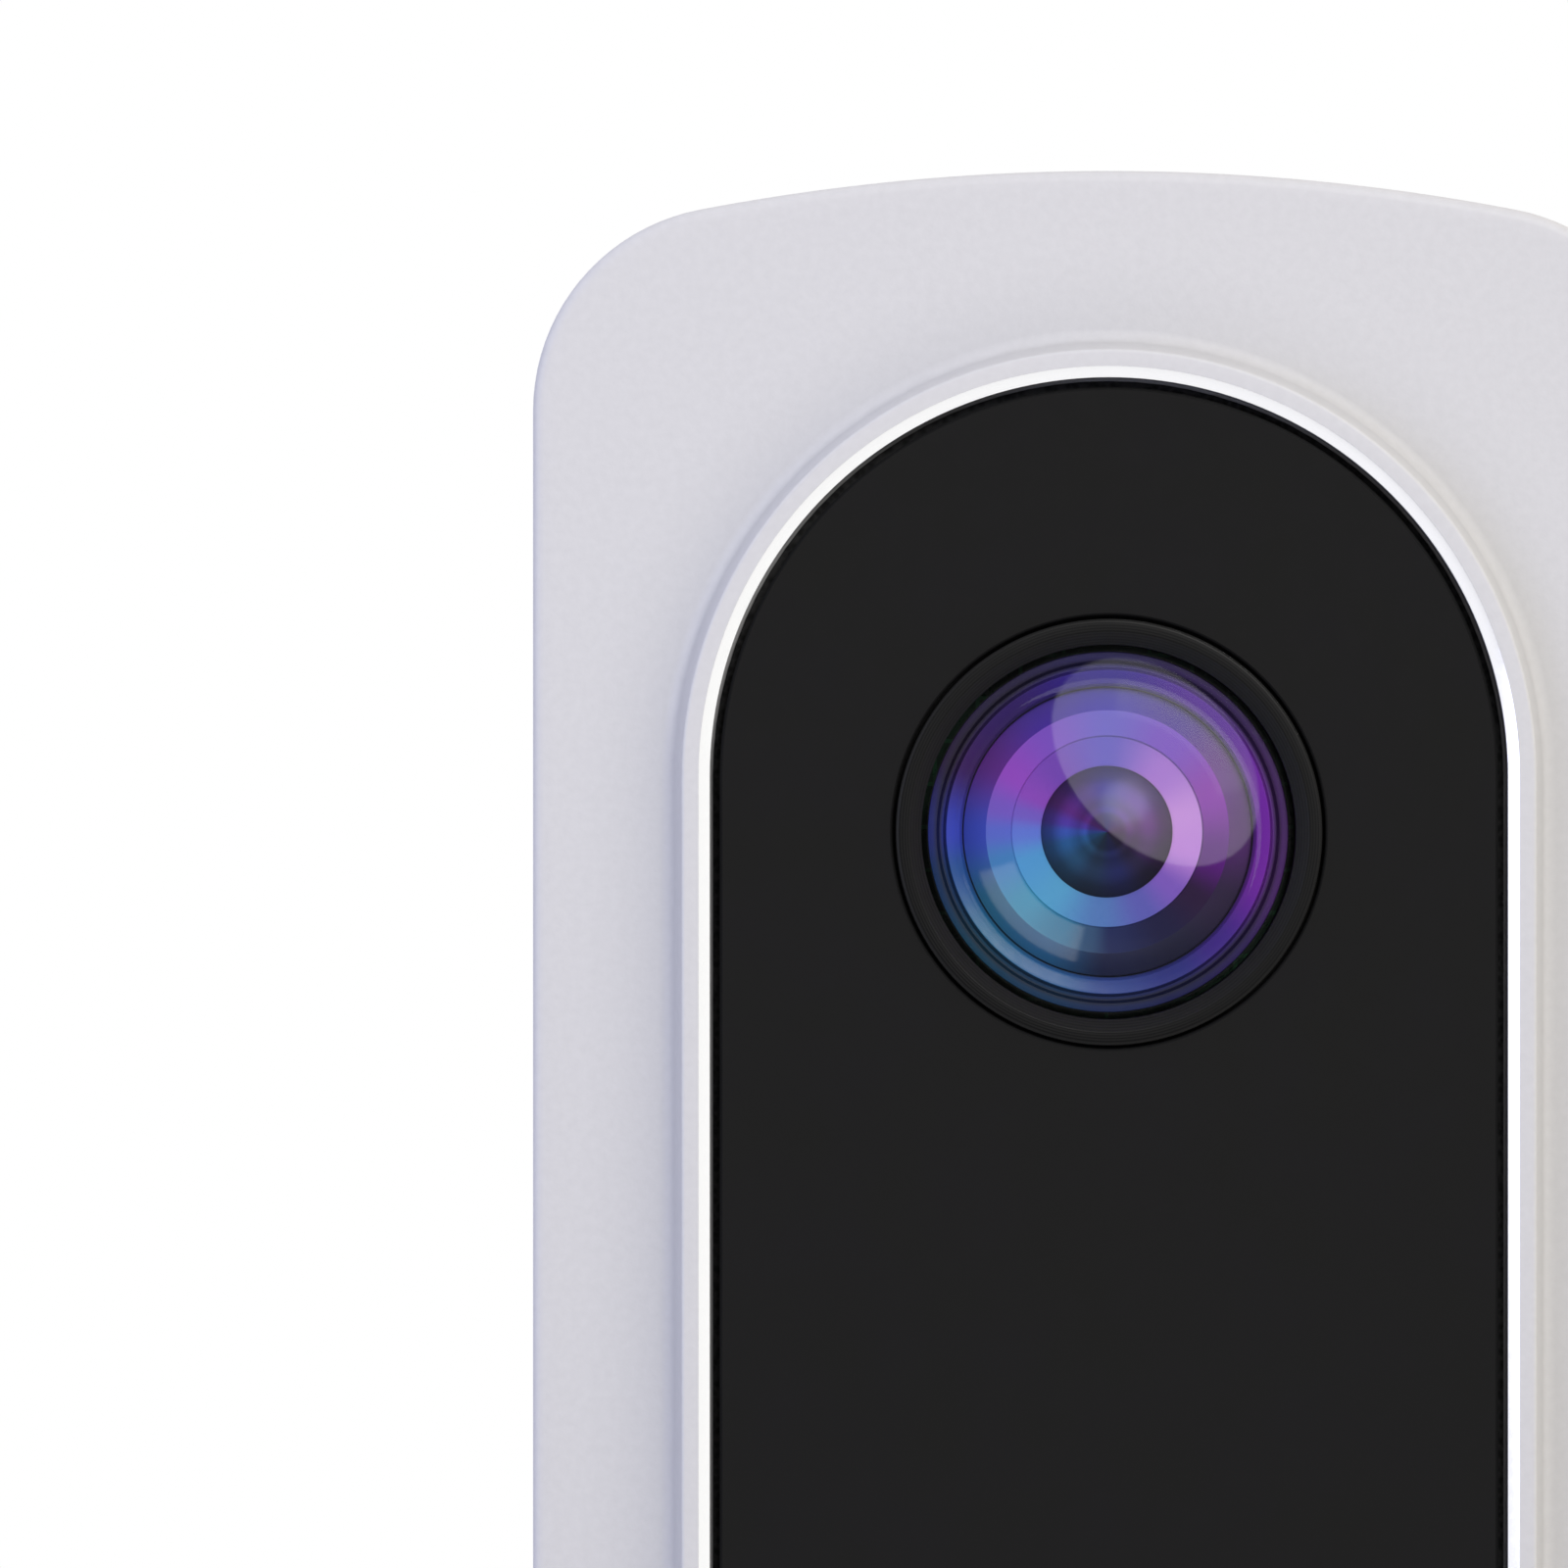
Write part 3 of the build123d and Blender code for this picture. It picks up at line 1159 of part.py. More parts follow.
TERMINAL_BACK = 5.2
TERMINAL_FRONT = 10.4
TERMINAL_SCREW_X = 4.6
TERMINAL_HEAD_R = 2.4
TERMINAL_HEAD_BACK = 3.8
TERMINAL_SHANK_R = 1.3
TERMINAL_SHANK_TIP = 9.0
DRIVE_SLOT_WIDTH = 0.6
DRIVE_SLOT_DEPTH = 0.6
CROSS_SLOT_LENGTH = 3.8

with BuildPart() as terminal_block:
    with BuildSketch(facing(TERMINAL_BACK)):
        Rectangle(TERMINAL_WIDTH, TERMINAL_HEIGHT)
    extrude(amount=TERMINAL_FRONT - TERMINAL_BACK)
    with BuildSketch(facing(TERMINAL_BACK)):
        with GridLocations(2 * TERMINAL_SCREW_X, 0, 2, 1):
            Circle(TERMINAL_SHANK_R + FIT_GAP)
    extrude(amount=TERMINAL_SHANK_TIP - TERMINAL_BACK, mode=Mode.SUBTRACT)
finish(terminal_block.part, "terminal_block")

with BuildPart() as terminal_screws:
    with BuildSketch(facing(TERMINAL_HEAD_BACK)):
        with GridLocations(2 * TERMINAL_SCREW_X, 0, 2, 1):
            Circle(TERMINAL_HEAD_R)
    extrude(amount=TERMINAL_BACK - TERMINAL_HEAD_BACK)
    with BuildSketch(facing(TERMINAL_BACK)):
        with GridLocations(2 * TERMINAL_SCREW_X, 0, 2, 1):
            Circle(TERMINAL_SHANK_R)
    extrude(amount=TERMINAL_SHANK_TIP - TERMINAL_BACK)
    with BuildSketch(facing(TERMINAL_HEAD_BACK)):
        with GridLocations(2 * TERMINAL_SCREW_X, 0, 2, 1):
            Rectangle(2 * TERMINAL_HEAD_R, DRIVE_SLOT_WIDTH)
            Rectangle(DRIVE_SLOT_WIDTH, CROSS_SLOT_LENGTH)
    extrude(amount=DRIVE_SLOT_DEPTH, mode=Mode.SUBTRACT)
finish(terminal_screws.part, "terminal_screws")

# ---- label --------------------------------------------------------------------------------------
# A blank silver sticker on the floor of the pocket.

LABEL_THICKNESS = 0.12
LABEL_MIDDLE = 30.0
LABEL_SIZE = (30.0, 26.0)
LABEL_CORNER = 1.5

with BuildPart() as rating_label:
    with BuildSketch(facing(FLOOR_BACK - LABEL_THICKNESS)):
        with Locations((0, LABEL_MIDDLE)):
            RectangleRounded(*LABEL_SIZE, LABEL_CORNER)
    extrude(amount=LABEL_THICKNESS)
finish(rating_label.part, "rating_label")

# ---- setup button -------------------------------------------------------------------------------
# A small button in the right side wall. A flange keeps it in its hole, and its stem stands against
# a side-facing switch on the edge of the main board.

SETUP_R = 1.93
SETUP_OUTER_X = WIDTH / 2
SETUP_FLANGE_R = 2.8
SETUP_FLANGE_OUT = WIDTH / 2 - WALL - 0.05
SETUP_FLANGE_IN = 27.0
SETUP_STEM_R = 0.8
SETUP_STEM_TIP = 25.6
SETUP_SWITCH_OUT = 25.0
SETUP_SWITCH_IN = 20.5
SETUP_SWITCH_LENGTH = 6.0
SETUP_SWITCH_HEIGHT = 5.0
SETUP_EDGE = 0.25

with BuildPart() as setup_button:
    for start, stop, radius in (
        (SETUP_STEM_TIP, SETUP_FLANGE_IN, SETUP_STEM_R),
        (SETUP_FLANGE_IN, SETUP_FLANGE_OUT, SETUP_FLANGE_R),
        (SETUP_FLANGE_OUT, SETUP_OUTER_X, SETUP_R),
    ):
        with BuildSketch(Plane.YZ.offset(start)):
            with Locations((-SETUP_DEPTH, SETUP_HEIGHT)):
                Circle(radius)
        extrude(amount=stop - start)
    chamfer(setup_button.edges().group_by(Axis.X)[-1], SETUP_EDGE)
finish(setup_button.part, "setup_button")

with BuildPart() as setup_switch:
    with BuildSketch(facing(BOARD_FRONT)):
        with Locations(((SETUP_SWITCH_IN + SETUP_SWITCH_OUT) / 2, SETUP_HEIGHT)):
            Rectangle(SETUP_SWITCH_OUT - SETUP_SWITCH_IN, SETUP_SWITCH_LENGTH)
    extrude(amount=SETUP_SWITCH_HEIGHT)
finish(setup_switch.part, "setup_switch")
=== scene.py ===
from math import acos, atan2, cos, pi, radians, sin, sqrt, tan

import bmesh
import bpy
from mathutils import Matrix, Vector


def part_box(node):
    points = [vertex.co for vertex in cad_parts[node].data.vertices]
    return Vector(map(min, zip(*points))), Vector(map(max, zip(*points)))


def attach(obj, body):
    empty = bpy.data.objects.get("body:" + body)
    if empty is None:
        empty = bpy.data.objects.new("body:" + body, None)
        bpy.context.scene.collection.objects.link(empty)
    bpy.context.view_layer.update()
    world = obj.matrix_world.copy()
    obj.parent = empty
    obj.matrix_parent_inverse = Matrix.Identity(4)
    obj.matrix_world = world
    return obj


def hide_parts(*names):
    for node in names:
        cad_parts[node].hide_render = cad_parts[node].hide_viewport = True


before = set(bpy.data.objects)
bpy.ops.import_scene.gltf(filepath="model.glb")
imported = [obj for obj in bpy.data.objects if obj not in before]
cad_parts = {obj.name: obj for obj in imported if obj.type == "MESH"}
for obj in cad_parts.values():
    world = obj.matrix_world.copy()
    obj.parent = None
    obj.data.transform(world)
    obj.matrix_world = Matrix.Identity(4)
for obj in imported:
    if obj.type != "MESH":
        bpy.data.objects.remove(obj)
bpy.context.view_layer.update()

mm = 0.001


# ---- wall bracket -------------------------------------------------------------------------------
# The plate that stays on the wall: one moulding in black glass-filled nylon, with two rails that the
# unit slides down over. Its face carries the fine spark-eroded grain of the mould.

def new_finish(name):
    """An empty material: the material, its nodes, its links and its main shader."""
    material = bpy.data.materials.new(name)
    material.use_nodes = True
    tree = material.node_tree
    return material, tree.nodes, tree.links, tree.nodes["Principled BSDF"]


def grain(nodes, links, size, stretch=(1, 1, 1)):
    """Noise with features of that size in metres, fixed to the piece."""
    place = nodes.new("ShaderNodeTexCoord")
    scale = nodes.new("ShaderNodeVectorMath")
    scale.operation = "MULTIPLY"
    scale.inputs[1].default_value = [axis / size for axis in stretch]
    noise = nodes.new("ShaderNodeTexNoise")
    noise.inputs["Scale"].default_value = 1.0
    links.new(place.outputs["Object"], scale.inputs[0])
    links.new(scale.outputs["Vector"], noise.inputs["Vector"])
    return noise.outputs["Fac"]


def tint(nodes, links, factor, dark, light, socket):
    """Colour between two tones, led by the factor."""
    ramp = nodes.new("ShaderNodeValToRGB")
    ramp.color_ramp.elements[0].position = 0.3
    ramp.color_ramp.elements[0].color = (*dark, 1)
    ramp.color_ramp.elements[1].position = 0.7
    ramp.color_ramp.elements[1].color = (*light, 1)
    links.new(factor, ramp.inputs["Fac"])
    links.new(ramp.outputs["Color"], socket)


def spread(nodes, links, factor, low, high, socket):
    """Number between two values, led by the factor."""
    reach = nodes.new("ShaderNodeMapRange")
    reach.inputs["From Min"].default_value = 0.3
    reach.inputs["From Max"].default_value = 0.7
    reach.inputs["To Min"].default_value = low
    reach.inputs["To Max"].default_value = high
    links.new(factor, reach.inputs["Value"])
    links.new(reach.outputs["Result"], socket)


def emboss(nodes, links, factor, depth, shader):
    """Lets the factor stand as relief of that depth, in metres."""
    relief = nodes.new("ShaderNodeBump")
    relief.inputs["Strength"].default_value = 1.0
    relief.inputs["Distance"].default_value = depth
    links.new(factor, relief.inputs["Height"])
    links.new(relief.outputs["Normal"], shader.inputs["Normal"])


def moulded(name, dark, light, rough=(0.45, 0.6), pit=0.25 * mm, relief=4e-6, cloud=6 * mm):
    """Moulded plastic or rubber: fine pits in its relief, and slow clouds in its tone."""
    material, nodes, links, shader = new_finish(name)
    pits = grain(nodes, links, pit)
    tint(nodes, links, grain(nodes, links, cloud), dark, light, shader.inputs["Base Color"])
    spread(nodes, links, pits, *rough, shader.inputs["Roughness"])
    emboss(nodes, links, pits, relief, shader)
    return material


def dress(material, *node_names):
    """Gives the CAD pieces of those names this finish."""
    for node_name in node_names:
        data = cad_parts[node_name].data
        data.materials.clear()
        data.materials.append(material)


bracket_nylon = moulded("bracket nylon", (0.012, 0.012, 0.013), (0.02, 0.02, 0.022), relief=8e-6)
dress(bracket_nylon, "wall_bracket")


# ---- lock screw ---------------------------------------------------------------------------------
# A small stainless screw in the bracket's foot, turned on a lathe, with a socket for a key. Its tip
# stands in the unit and keeps it from being lifted off.

def bare_metal(name, dark, light, rough=(0.22, 0.38), stroke=(1, 1, 1), size=0.12 * mm):
    """Bare metal with the fine strokes that a tool or a roller leaves."""
    material, nodes, links, shader = new_finish(name)
    shader.inputs["Metallic"].default_value = 1.0
    strokes = grain(nodes, links, size, stretch=stroke)
    tint(nodes, links, strokes, dark, light, shader.inputs["Base Color"])
    spread(nodes, links, strokes, *rough, shader.inputs["Roughness"])
    emboss(nodes, links, strokes, 2e-6, shader)
    return material


stainless = bare_metal("stainless steel", (0.42, 0.42, 0.43), (0.62, 0.62, 0.63), stroke=(1, 1, 4))
dress(stainless, "security_screw")


# ---- rear housing -------------------------------------------------------------------------------
# The white tray behind: moulded in the same ABS as the front shell, with a satin grain all over. Its
# back has the pocket for the bracket and four screw recesses. Its white is painted darker where faces
# meet, in corners, in creases and at the rim's foot: painted shade.

white_plastic = moulded(
    "white plastic",
    dark=(0.78, 0.78, 0.785),
    light=(0.81, 0.81, 0.815),
    rough=(0.42, 0.56),
    pit=0.25 * mm,
    relief=7e-6,
    cloud=0.5 * mm,
)
# Painted shade: the white is darkened where other faces stand near, in corners, creases and at the rim's
# foot.
PAINTED_SHADE_REACH = 5 * mm
PAINTED_SHADE_TONE = 0.45
nodes = white_plastic.node_tree.nodes
links = white_plastic.node_tree.links
shader = nodes["Principled BSDF"]
unshaded_tone = shader.inputs["Base Color"].links[0].from_socket
corner = nodes.new("ShaderNodeAmbientOcclusion")
corner.samples = 8
corner.inputs["Distance"].default_value = PAINTED_SHADE_REACH
shade = nodes.new("ShaderNodeMapRange")
shade.inputs["To Min"].default_value = PAINTED_SHADE_TONE
shade.inputs["To Max"].default_value = 1.0
painted_shade_mix = nodes.new("ShaderNodeMix")
painted_shade_mix.data_type = "RGBA"
painted_shade_mix.blend_type = "MULTIPLY"
painted_shade_mix.inputs["Factor"].default_value = 1.0
links.new(corner.outputs["AO"], shade.inputs["Value"])
links.new(unshaded_tone, painted_shade_mix.inputs["A"])
links.new(shade.outputs["Result"], painted_shade_mix.inputs["B"])
links.new(painted_shade_mix.outputs["Result"], shader.inputs["Base Color"])
dress(white_plastic, "rear_housing")


# ---- wire terminals -----------------------------------------------------------------------------
# A black thermoplastic block in the floor of the tray, with two brass screws that clamp the bell
# wires. The brass is bright, with the lathe's rings on the heads.

terminal_plastic = moulded(
    "terminal plastic",
    dark=(0.016, 0.016, 0.017),
    light=(0.026, 0.026, 0.027),
    rough=(0.35, 0.5),
)
dress(terminal_plastic, "terminal_block")
brass = bare_metal("brass", (0.62, 0.42, 0.16), (0.8, 0.58, 0.26), rough=(0.18, 0.32), stroke=(1, 5, 1))
dress(brass, "terminal_screws")


# ---- rating label -------------------------------------------------------------------------------
# A blank silver film stuck to the floor of the pocket: brushed aluminium foil under a clear coat.

label_film = bare_metal(
    "silver film",
    dark=(0.6, 0.61, 0.62),
    light=(0.72, 0.73, 0.74),
    rough=(0.35, 0.5),
    stroke=(0.05, 1, 1),
)
dress(label_film, "rating_label")


# ---- gasket and housing screws ------------------------------------------------------------------
# A grey silicone cord seals the joint between the two mouldings, and four zinc-plated screws from
# the back draw them together.

silicone = moulded(
    "grey silicone",
    dark=(0.05, 0.05, 0.052),
    light=(0.075, 0.075, 0.078),
    rough=(0.6, 0.75),
    relief=2e-6,
)
dress(silicone, "shell_gasket")
zinc = bare_metal("zinc plate", (0.5, 0.51, 0.54), (0.66, 0.67, 0.7), rough=(0.25, 0.4), stroke=(1, 4, 1))
dress(zinc, "housing_screws", "board_screws")


# ---- speaker ------------------------------------------------------------------------------------
# A flat speaker behind the sound slots: a black frame, a pressed paper cone, a plated magnet, and a
# foam ring that seals it to a woven steel mesh.

dress(terminal_plastic, "speaker_frame")
cone_paper, nodes, links, shader = new_finish("cone paper")
fibres = grain(nodes, links, 0.18 * mm, stretch=(1, 1, 0.3))
tint(nodes, links, fibres, (0.025, 0.024, 0.023), (0.06, 0.058, 0.055), shader.inputs["Base Color"])
spread(nodes, links, fibres, 0.8, 0.95, shader.inputs["Roughness"])
emboss(nodes, links, fibres, 2e-5, shader)
dress(cone_paper, "speaker_cone")
dress(zinc, "speaker_magnet")

MESH_PITCH = 0.5 * mm
steel_mesh, nodes, links, shader = new_finish("woven steel mesh")
shader.inputs["Metallic"].default_value = 1.0
place = nodes.new("ShaderNodeTexCoord")
weave = nodes.new("ShaderNodeTexVoronoi")
weave.inputs["Scale"].default_value = 1 / MESH_PITCH
weave.inputs["Randomness"].default_value = 0.0
links.new(place.outputs["Object"], weave.inputs["Vector"])
wires = weave.outputs["Distance"]
tint(nodes, links, wires, (0.02, 0.02, 0.02), (0.4, 0.4, 0.41), shader.inputs["Base Color"])
spread(nodes, links, wires, 0.6, 0.3, shader.inputs["Roughness"])
emboss(nodes, links, wires, 1e-4, shader)
dress(steel_mesh, "speaker_mesh")

FOAM_CELL = 0.35 * mm
foam, nodes, links, shader = new_finish("black foam")
place = nodes.new("ShaderNodeTexCoord")
cells = nodes.new("ShaderNodeTexVoronoi")
cells.inputs["Scale"].default_value = 1 / FOAM_CELL
links.new(place.outputs["Object"], cells.inputs["Vector"])
bubbles = cells.outputs["Distance"]
tint(nodes, links, bubbles, (0.006, 0.006, 0.006), (0.02, 0.02, 0.02), shader.inputs["Base Color"])
spread(nodes, links, bubbles, 0.95, 0.85, shader.inputs["Roughness"])
emboss(nodes, links, bubbles, 6e-5, shader)
dress(foam, "speaker_gasket")


# ---- backup battery -----------------------------------------------------------------------------
# A pouch cell in crinkled aluminium foil, pressed to the floor of the tray by a foam pad.

pouch_foil = bare_metal("pouch foil", (0.6, 0.6, 0.62), (0.78, 0.78, 0.8), rough=(0.25, 0.45), size=2.5 * mm)
dress(pouch_foil, "backup_battery")
dress(foam, "battery_foam")


# ---- circuit boards -----------------------------------------------------------------------------
# Glass-epoxy boards under a green solder mask, through which the copper runs show a little lighter.
# The chips are matt black resin, the radio's can is tinned steel.

RUN_PITCH = 9 * mm
solder_mask, nodes, links, shader = new_finish("green solder mask")
place = nodes.new("ShaderNodeTexCoord")
runs = nodes.new("ShaderNodeTexBrick")
runs.inputs["Scale"].default_value = 1 / RUN_PITCH
runs.inputs["Color1"].default_value = (0.006, 0.045, 0.018, 1)
runs.inputs["Color2"].default_value = (0.009, 0.06, 0.024, 1)
runs.inputs["Mortar"].default_value = (0.02, 0.13, 0.05, 1)
runs.inputs["Mortar Size"].default_value = 0.012
turned_place = nodes.new("ShaderNodeMapping")
turned_place.inputs["Rotation"].default_value = (pi / 2, 0, 0)
links.new(place.outputs["Object"], turned_place.inputs["Vector"])
links.new(turned_place.outputs["Vector"], runs.inputs["Vector"])
links.new(runs.outputs["Color"], shader.inputs["Base Color"])
weave_marks = grain(nodes, links, 0.4 * mm)
spread(nodes, links, weave_marks, 0.25, 0.4, shader.inputs["Roughness"])
emboss(nodes, links, weave_marks, 3e-6, shader)
dress(solder_mask, "main_board", "night_light_board", "button_board")

chip_resin = moulded(
    "chip resin",
    dark=(0.014, 0.014, 0.015),
    light=(0.024, 0.024, 0.026),
    rough=(0.5, 0.7),
    pit=0.1 * mm,
)
dress(chip_resin, "processor", "memory_chip", "power_inductors", "light_sensor")
tinned = bare_metal(
    "tinned steel",
    dark=(0.55, 0.55, 0.56),
    light=(0.7, 0.7, 0.71),
    rough=(0.3, 0.45),
    stroke=(0.1, 1, 1),
)
dress(tinned, "radio_shield", "microphone")
rolled_aluminium = bare_metal("rolled aluminium", (0.7, 0.7, 0.72), (0.84, 0.84, 0.86), stroke=(0.08, 1, 1))
dress(rolled_aluminium, "heat_spreader", "capacitors")
thermal_rubber = moulded("thermal pad rubber", (0.22, 0.28, 0.33), (0.3, 0.36, 0.42), rough=(0.7, 0.85))
dress(thermal_rubber, "thermal_pad")
connector_nylon = moulded("connector nylon", (0.5, 0.45, 0.36), (0.62, 0.56, 0.46), rough=(0.4, 0.55))
dress(connector_nylon, "board_connector")
amber_film = moulded("amber film", (0.4, 0.14, 0.015), (0.52, 0.2, 0.03), rough=(0.18, 0.3), relief=1e-6)
dress(amber_film, "flex_cable", "radio_antenna")
dress(silicone, "microphone_boot")


# ---- front shell --------------------------------------------------------------------------------
# The white cover, moulded in one with a raised rim that frames the panel. The rim's foot runs into
# the face with a small cove, and its mouth has a polished bevel.

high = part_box("front_shell")[1]
HALF_WIDTH = high.x / mm
HALF_HEIGHT = high.z / mm
PARTING = -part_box("rear_housing")[0].y / mm
CROWN_RADIUS = 113.3
CORNER_RADIUS = 10.7
WALL = 2.2
FRONT_WALL_BACK = 22.0
FRONT_WALL = 24.0
RIM_TOP = 26.0
PILL_HALF = 36.4
RIM_FOOT_R = 22.75
RIM_OUTER_R = 22.2
RIM_INNER_R = 20.75
RIM_BEVEL = 0.6
RIM_BEVEL_DEPTH = 0.39
RIM_APRON_R = 24.6
LEDGE_R = 18.6
SIDE_EDGE = 0.6
SIDE_STEPS = 24
CORNER_STEPS = 20
CROWN_STEPS = 36


def whole_ring(quarter, depth):
    """Mirrors the points of one quarter, from the right side to the top, into a whole ring."""
    left = [(-x, z) for x, z in reversed(quarter[:-1])]
    lower = [(x, -z) for x, z in reversed(quarter[1:])]
    lower_left = [(-x, -z) for x, z in quarter[1:-1]]
    return [Vector((x, -depth, z)) * mm for x, z in quarter + left + lower_left + lower]


def housing_ring(inset, depth):
    """The housing's outline: straight sides, round corners and crowned ends, set in by inset."""
    crown_middle = HALF_HEIGHT - CROWN_RADIUS
    corner_x = HALF_WIDTH - CORNER_RADIUS
    corner_z = crown_middle + sqrt((CROWN_RADIUS - CORNER_RADIUS) ** 2 - corner_x**2)
    meeting = atan2(corner_z - crown_middle, corner_x)
    points = []
    for step in range(SIDE_STEPS):
        points.append((HALF_WIDTH - inset, corner_z * step / SIDE_STEPS))
    for step in range(CORNER_STEPS):
        angle = meeting * step / CORNER_STEPS
        radius = CORNER_RADIUS - inset
        points.append((corner_x + radius * cos(angle), corner_z + radius * sin(angle)))
    for step in range(CROWN_STEPS + 1):
        angle = meeting + (pi / 2 - meeting) * step / CROWN_STEPS
        radius = CROWN_RADIUS - inset
        points.append((radius * cos(angle), crown_middle + radius * sin(angle)))
    return whole_ring(points, depth)


def pill_ring(radius, depth):
    """An outline with straight sides and half-round ends, with as many points as the housing's."""
    points = [(radius, PILL_HALF * step / SIDE_STEPS) for step in range(SIDE_STEPS)]
    arc_steps = CORNER_STEPS + CROWN_STEPS
    for step in range(arc_steps + 1):
        angle = pi / 2 * step / arc_steps
        points.append((radius * cos(angle), PILL_HALF + radius * sin(angle)))
    return whole_ring(points, depth)


def eased(corners, steps=6):
    """Rounds a profile's corners, each given as (across, depth, radius)."""
    path = []
    for index, (across, depth, radius) in enumerate(corners):
        here = Vector((across, depth))
        if radius == 0 or index in (0, len(corners) - 1):
            path.append(here)
            continue
        back = (Vector(corners[index - 1][:2]) - here).normalized()
        ahead = (Vector(corners[index + 1][:2]) - here).normalized()
        reach = radius / tan(acos(max(-1, min(1, back.dot(ahead)))) / 2)
        start, end = here + back * reach, here + ahead * reach
        for step in range(steps + 1):
            t = step / steps
            path.append(start * (1 - t) ** 2 + here * 2 * t * (1 - t) + end * t**2)
    return path


def finished_object(name, mesh, *materials, crease=35):
    """Closes a mesh into an object, smooth but for edges sharper than the crease, in degrees."""
    bmesh.ops.remove_doubles(mesh, verts=mesh.verts, dist=1e-7)
    bmesh.ops.recalc_face_normals(mesh, faces=mesh.faces)
    data = bpy.data.meshes.new(name)
    mesh.to_mesh(data)
    mesh.free()
    data.shade_smooth()
    data.set_sharp_from_angle(angle=radians(crease))
    for material in materials:
        data.materials.append(material)
    piece = bpy.data.objects.new(name, data)
    bpy.context.collection.objects.link(piece)
    return piece


def skin(rings):
    """Joins a chain of equal rings, the last one to the first, into a closed surface."""
    mesh = bmesh.new()
    rows = [[mesh.verts.new(point) for point in ring] for ring in rings]
    for row, following in zip(rows, rows[1:] + rows[:1]):
        for index, vertex in enumerate(row):
            after = (index + 1) % len(row)
            mesh.faces.new((vertex, row[after], following[after], following[index]))
    return mesh


side_profile = eased([
    (WALL, PARTING, 0),
    (0, PARTING, 0.12),
    (0, FRONT_WALL, SIDE_EDGE),
    (2 * SIDE_EDGE, FRONT_WALL, 0),
])
rim_profile = eased([
    (RIM_APRON_R, FRONT_WALL, 0),
    (RIM_FOOT_R, FRONT_WALL, 0.8),
    (RIM_OUTER_R, RIM_TOP, 0.22),
    (RIM_INNER_R + RIM_BEVEL, RIM_TOP, 0.05),
    (RIM_INNER_R, RIM_TOP - RIM_BEVEL_DEPTH, 0.05),
    (RIM_INNER_R, FRONT_WALL, 0),
    (LEDGE_R, FRONT_WALL, 0),
    (LEDGE_R, FRONT_WALL_BACK, 0),
])
shell_rings = [housing_ring(*point) for point in side_profile]
shell_rings += [pill_ring(*point) for point in rim_profile]
shell_rings.append(housing_ring(WALL, FRONT_WALL_BACK))
shell_mesh = skin(shell_rings)

bevel_polish, nodes, links, shader = new_finish("polished bevel")
shader.inputs["Metallic"].default_value = 0.9
haze = grain(nodes, links, 0.6 * mm)
tint(nodes, links, haze, (0.93, 0.93, 0.94), (0.96, 0.96, 0.97), shader.inputs["Base Color"])
spread(nodes, links, haze, 0.1, 0.16, shader.inputs["Roughness"])

BEVEL_SPARE = 0.1
BEVEL_SLOPES = (0.5, 0.9)
front_shell = finished_object("front_shell_moulding", shell_mesh, white_plastic, bevel_polish)
for face in front_shell.data.polygons:
    middle = face.center / mm
    along = max(0.0, abs(middle.z) - PILL_HALF)
    out = sqrt(middle.x**2 + along**2)
    sloping = BEVEL_SLOPES[0] < abs(face.normal.y) < BEVEL_SLOPES[1]
    if sloping and RIM_INNER_R - BEVEL_SPARE < out < RIM_INNER_R + RIM_BEVEL + BEVEL_SPARE:
        face.material_index = 1

SETUP_HEIGHT = 6.0
SETUP_DEPTH = 17.5
SETUP_HOLE_R = 2.0
DRILL_LENGTH = 2.5 * WALL
drill_mesh = bmesh.new()
drill_middle = Matrix.Translation(Vector((HALF_WIDTH, -SETUP_DEPTH, SETUP_HEIGHT)) * mm)
drill_place = drill_middle @ Matrix.Rotation(pi / 2, 4, "Y")
bmesh.ops.create_cone(
    drill_mesh,
    cap_ends=True,
    segments=48,
    radius1=SETUP_HOLE_R * mm,
    radius2=SETUP_HOLE_R * mm,
    depth=DRILL_LENGTH * mm,
    matrix=drill_place,
)
drill = finished_object("drill", drill_mesh, white_plastic)
cut = front_shell.modifiers.new("button hole", "BOOLEAN")
cut.object = drill
cut.operation = "DIFFERENCE"
bored = bpy.data.meshes.new_from_object(front_shell.evaluated_get(bpy.context.evaluated_depsgraph_get()))
front_shell.modifiers.clear()
front_shell.data = bored
bpy.data.objects.remove(drill)
SQUARE_ON = 0.999
for face in bored.polygons:
    face.use_smooth = abs(face.normal.x) < SQUARE_ON
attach(front_shell, "unit")
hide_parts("front_shell")


# ---- front panel --------------------------------------------------------------------------------
# A cast black acrylic sheet, polished, with openings for the lens, the button and the microphone.
# Black foam tape holds it to the ledge in the rim and shows at the bottom of the gap.

PANEL_R = 20.25
PANEL_BACK = 24.25
PANEL_FRONT = 25.6
PANEL_EDGE = 0.15
LENS_HEIGHT = 33.5
BUTTON_HEIGHT = -36.4
MICROPHONE_HEIGHT = -14.0
LENS_OPENING_R = 11.25
BUTTON_OPENING_R = 12.5
MICROPHONE_R = 0.55


def round_hole(radius, height, steps):
    """Points round a hole on the middle line."""
    turns = [2 * pi * step / steps for step in range(steps)]
    return [(radius * cos(turn) * mm, (height + radius * sin(turn)) * mm) for turn in turns]


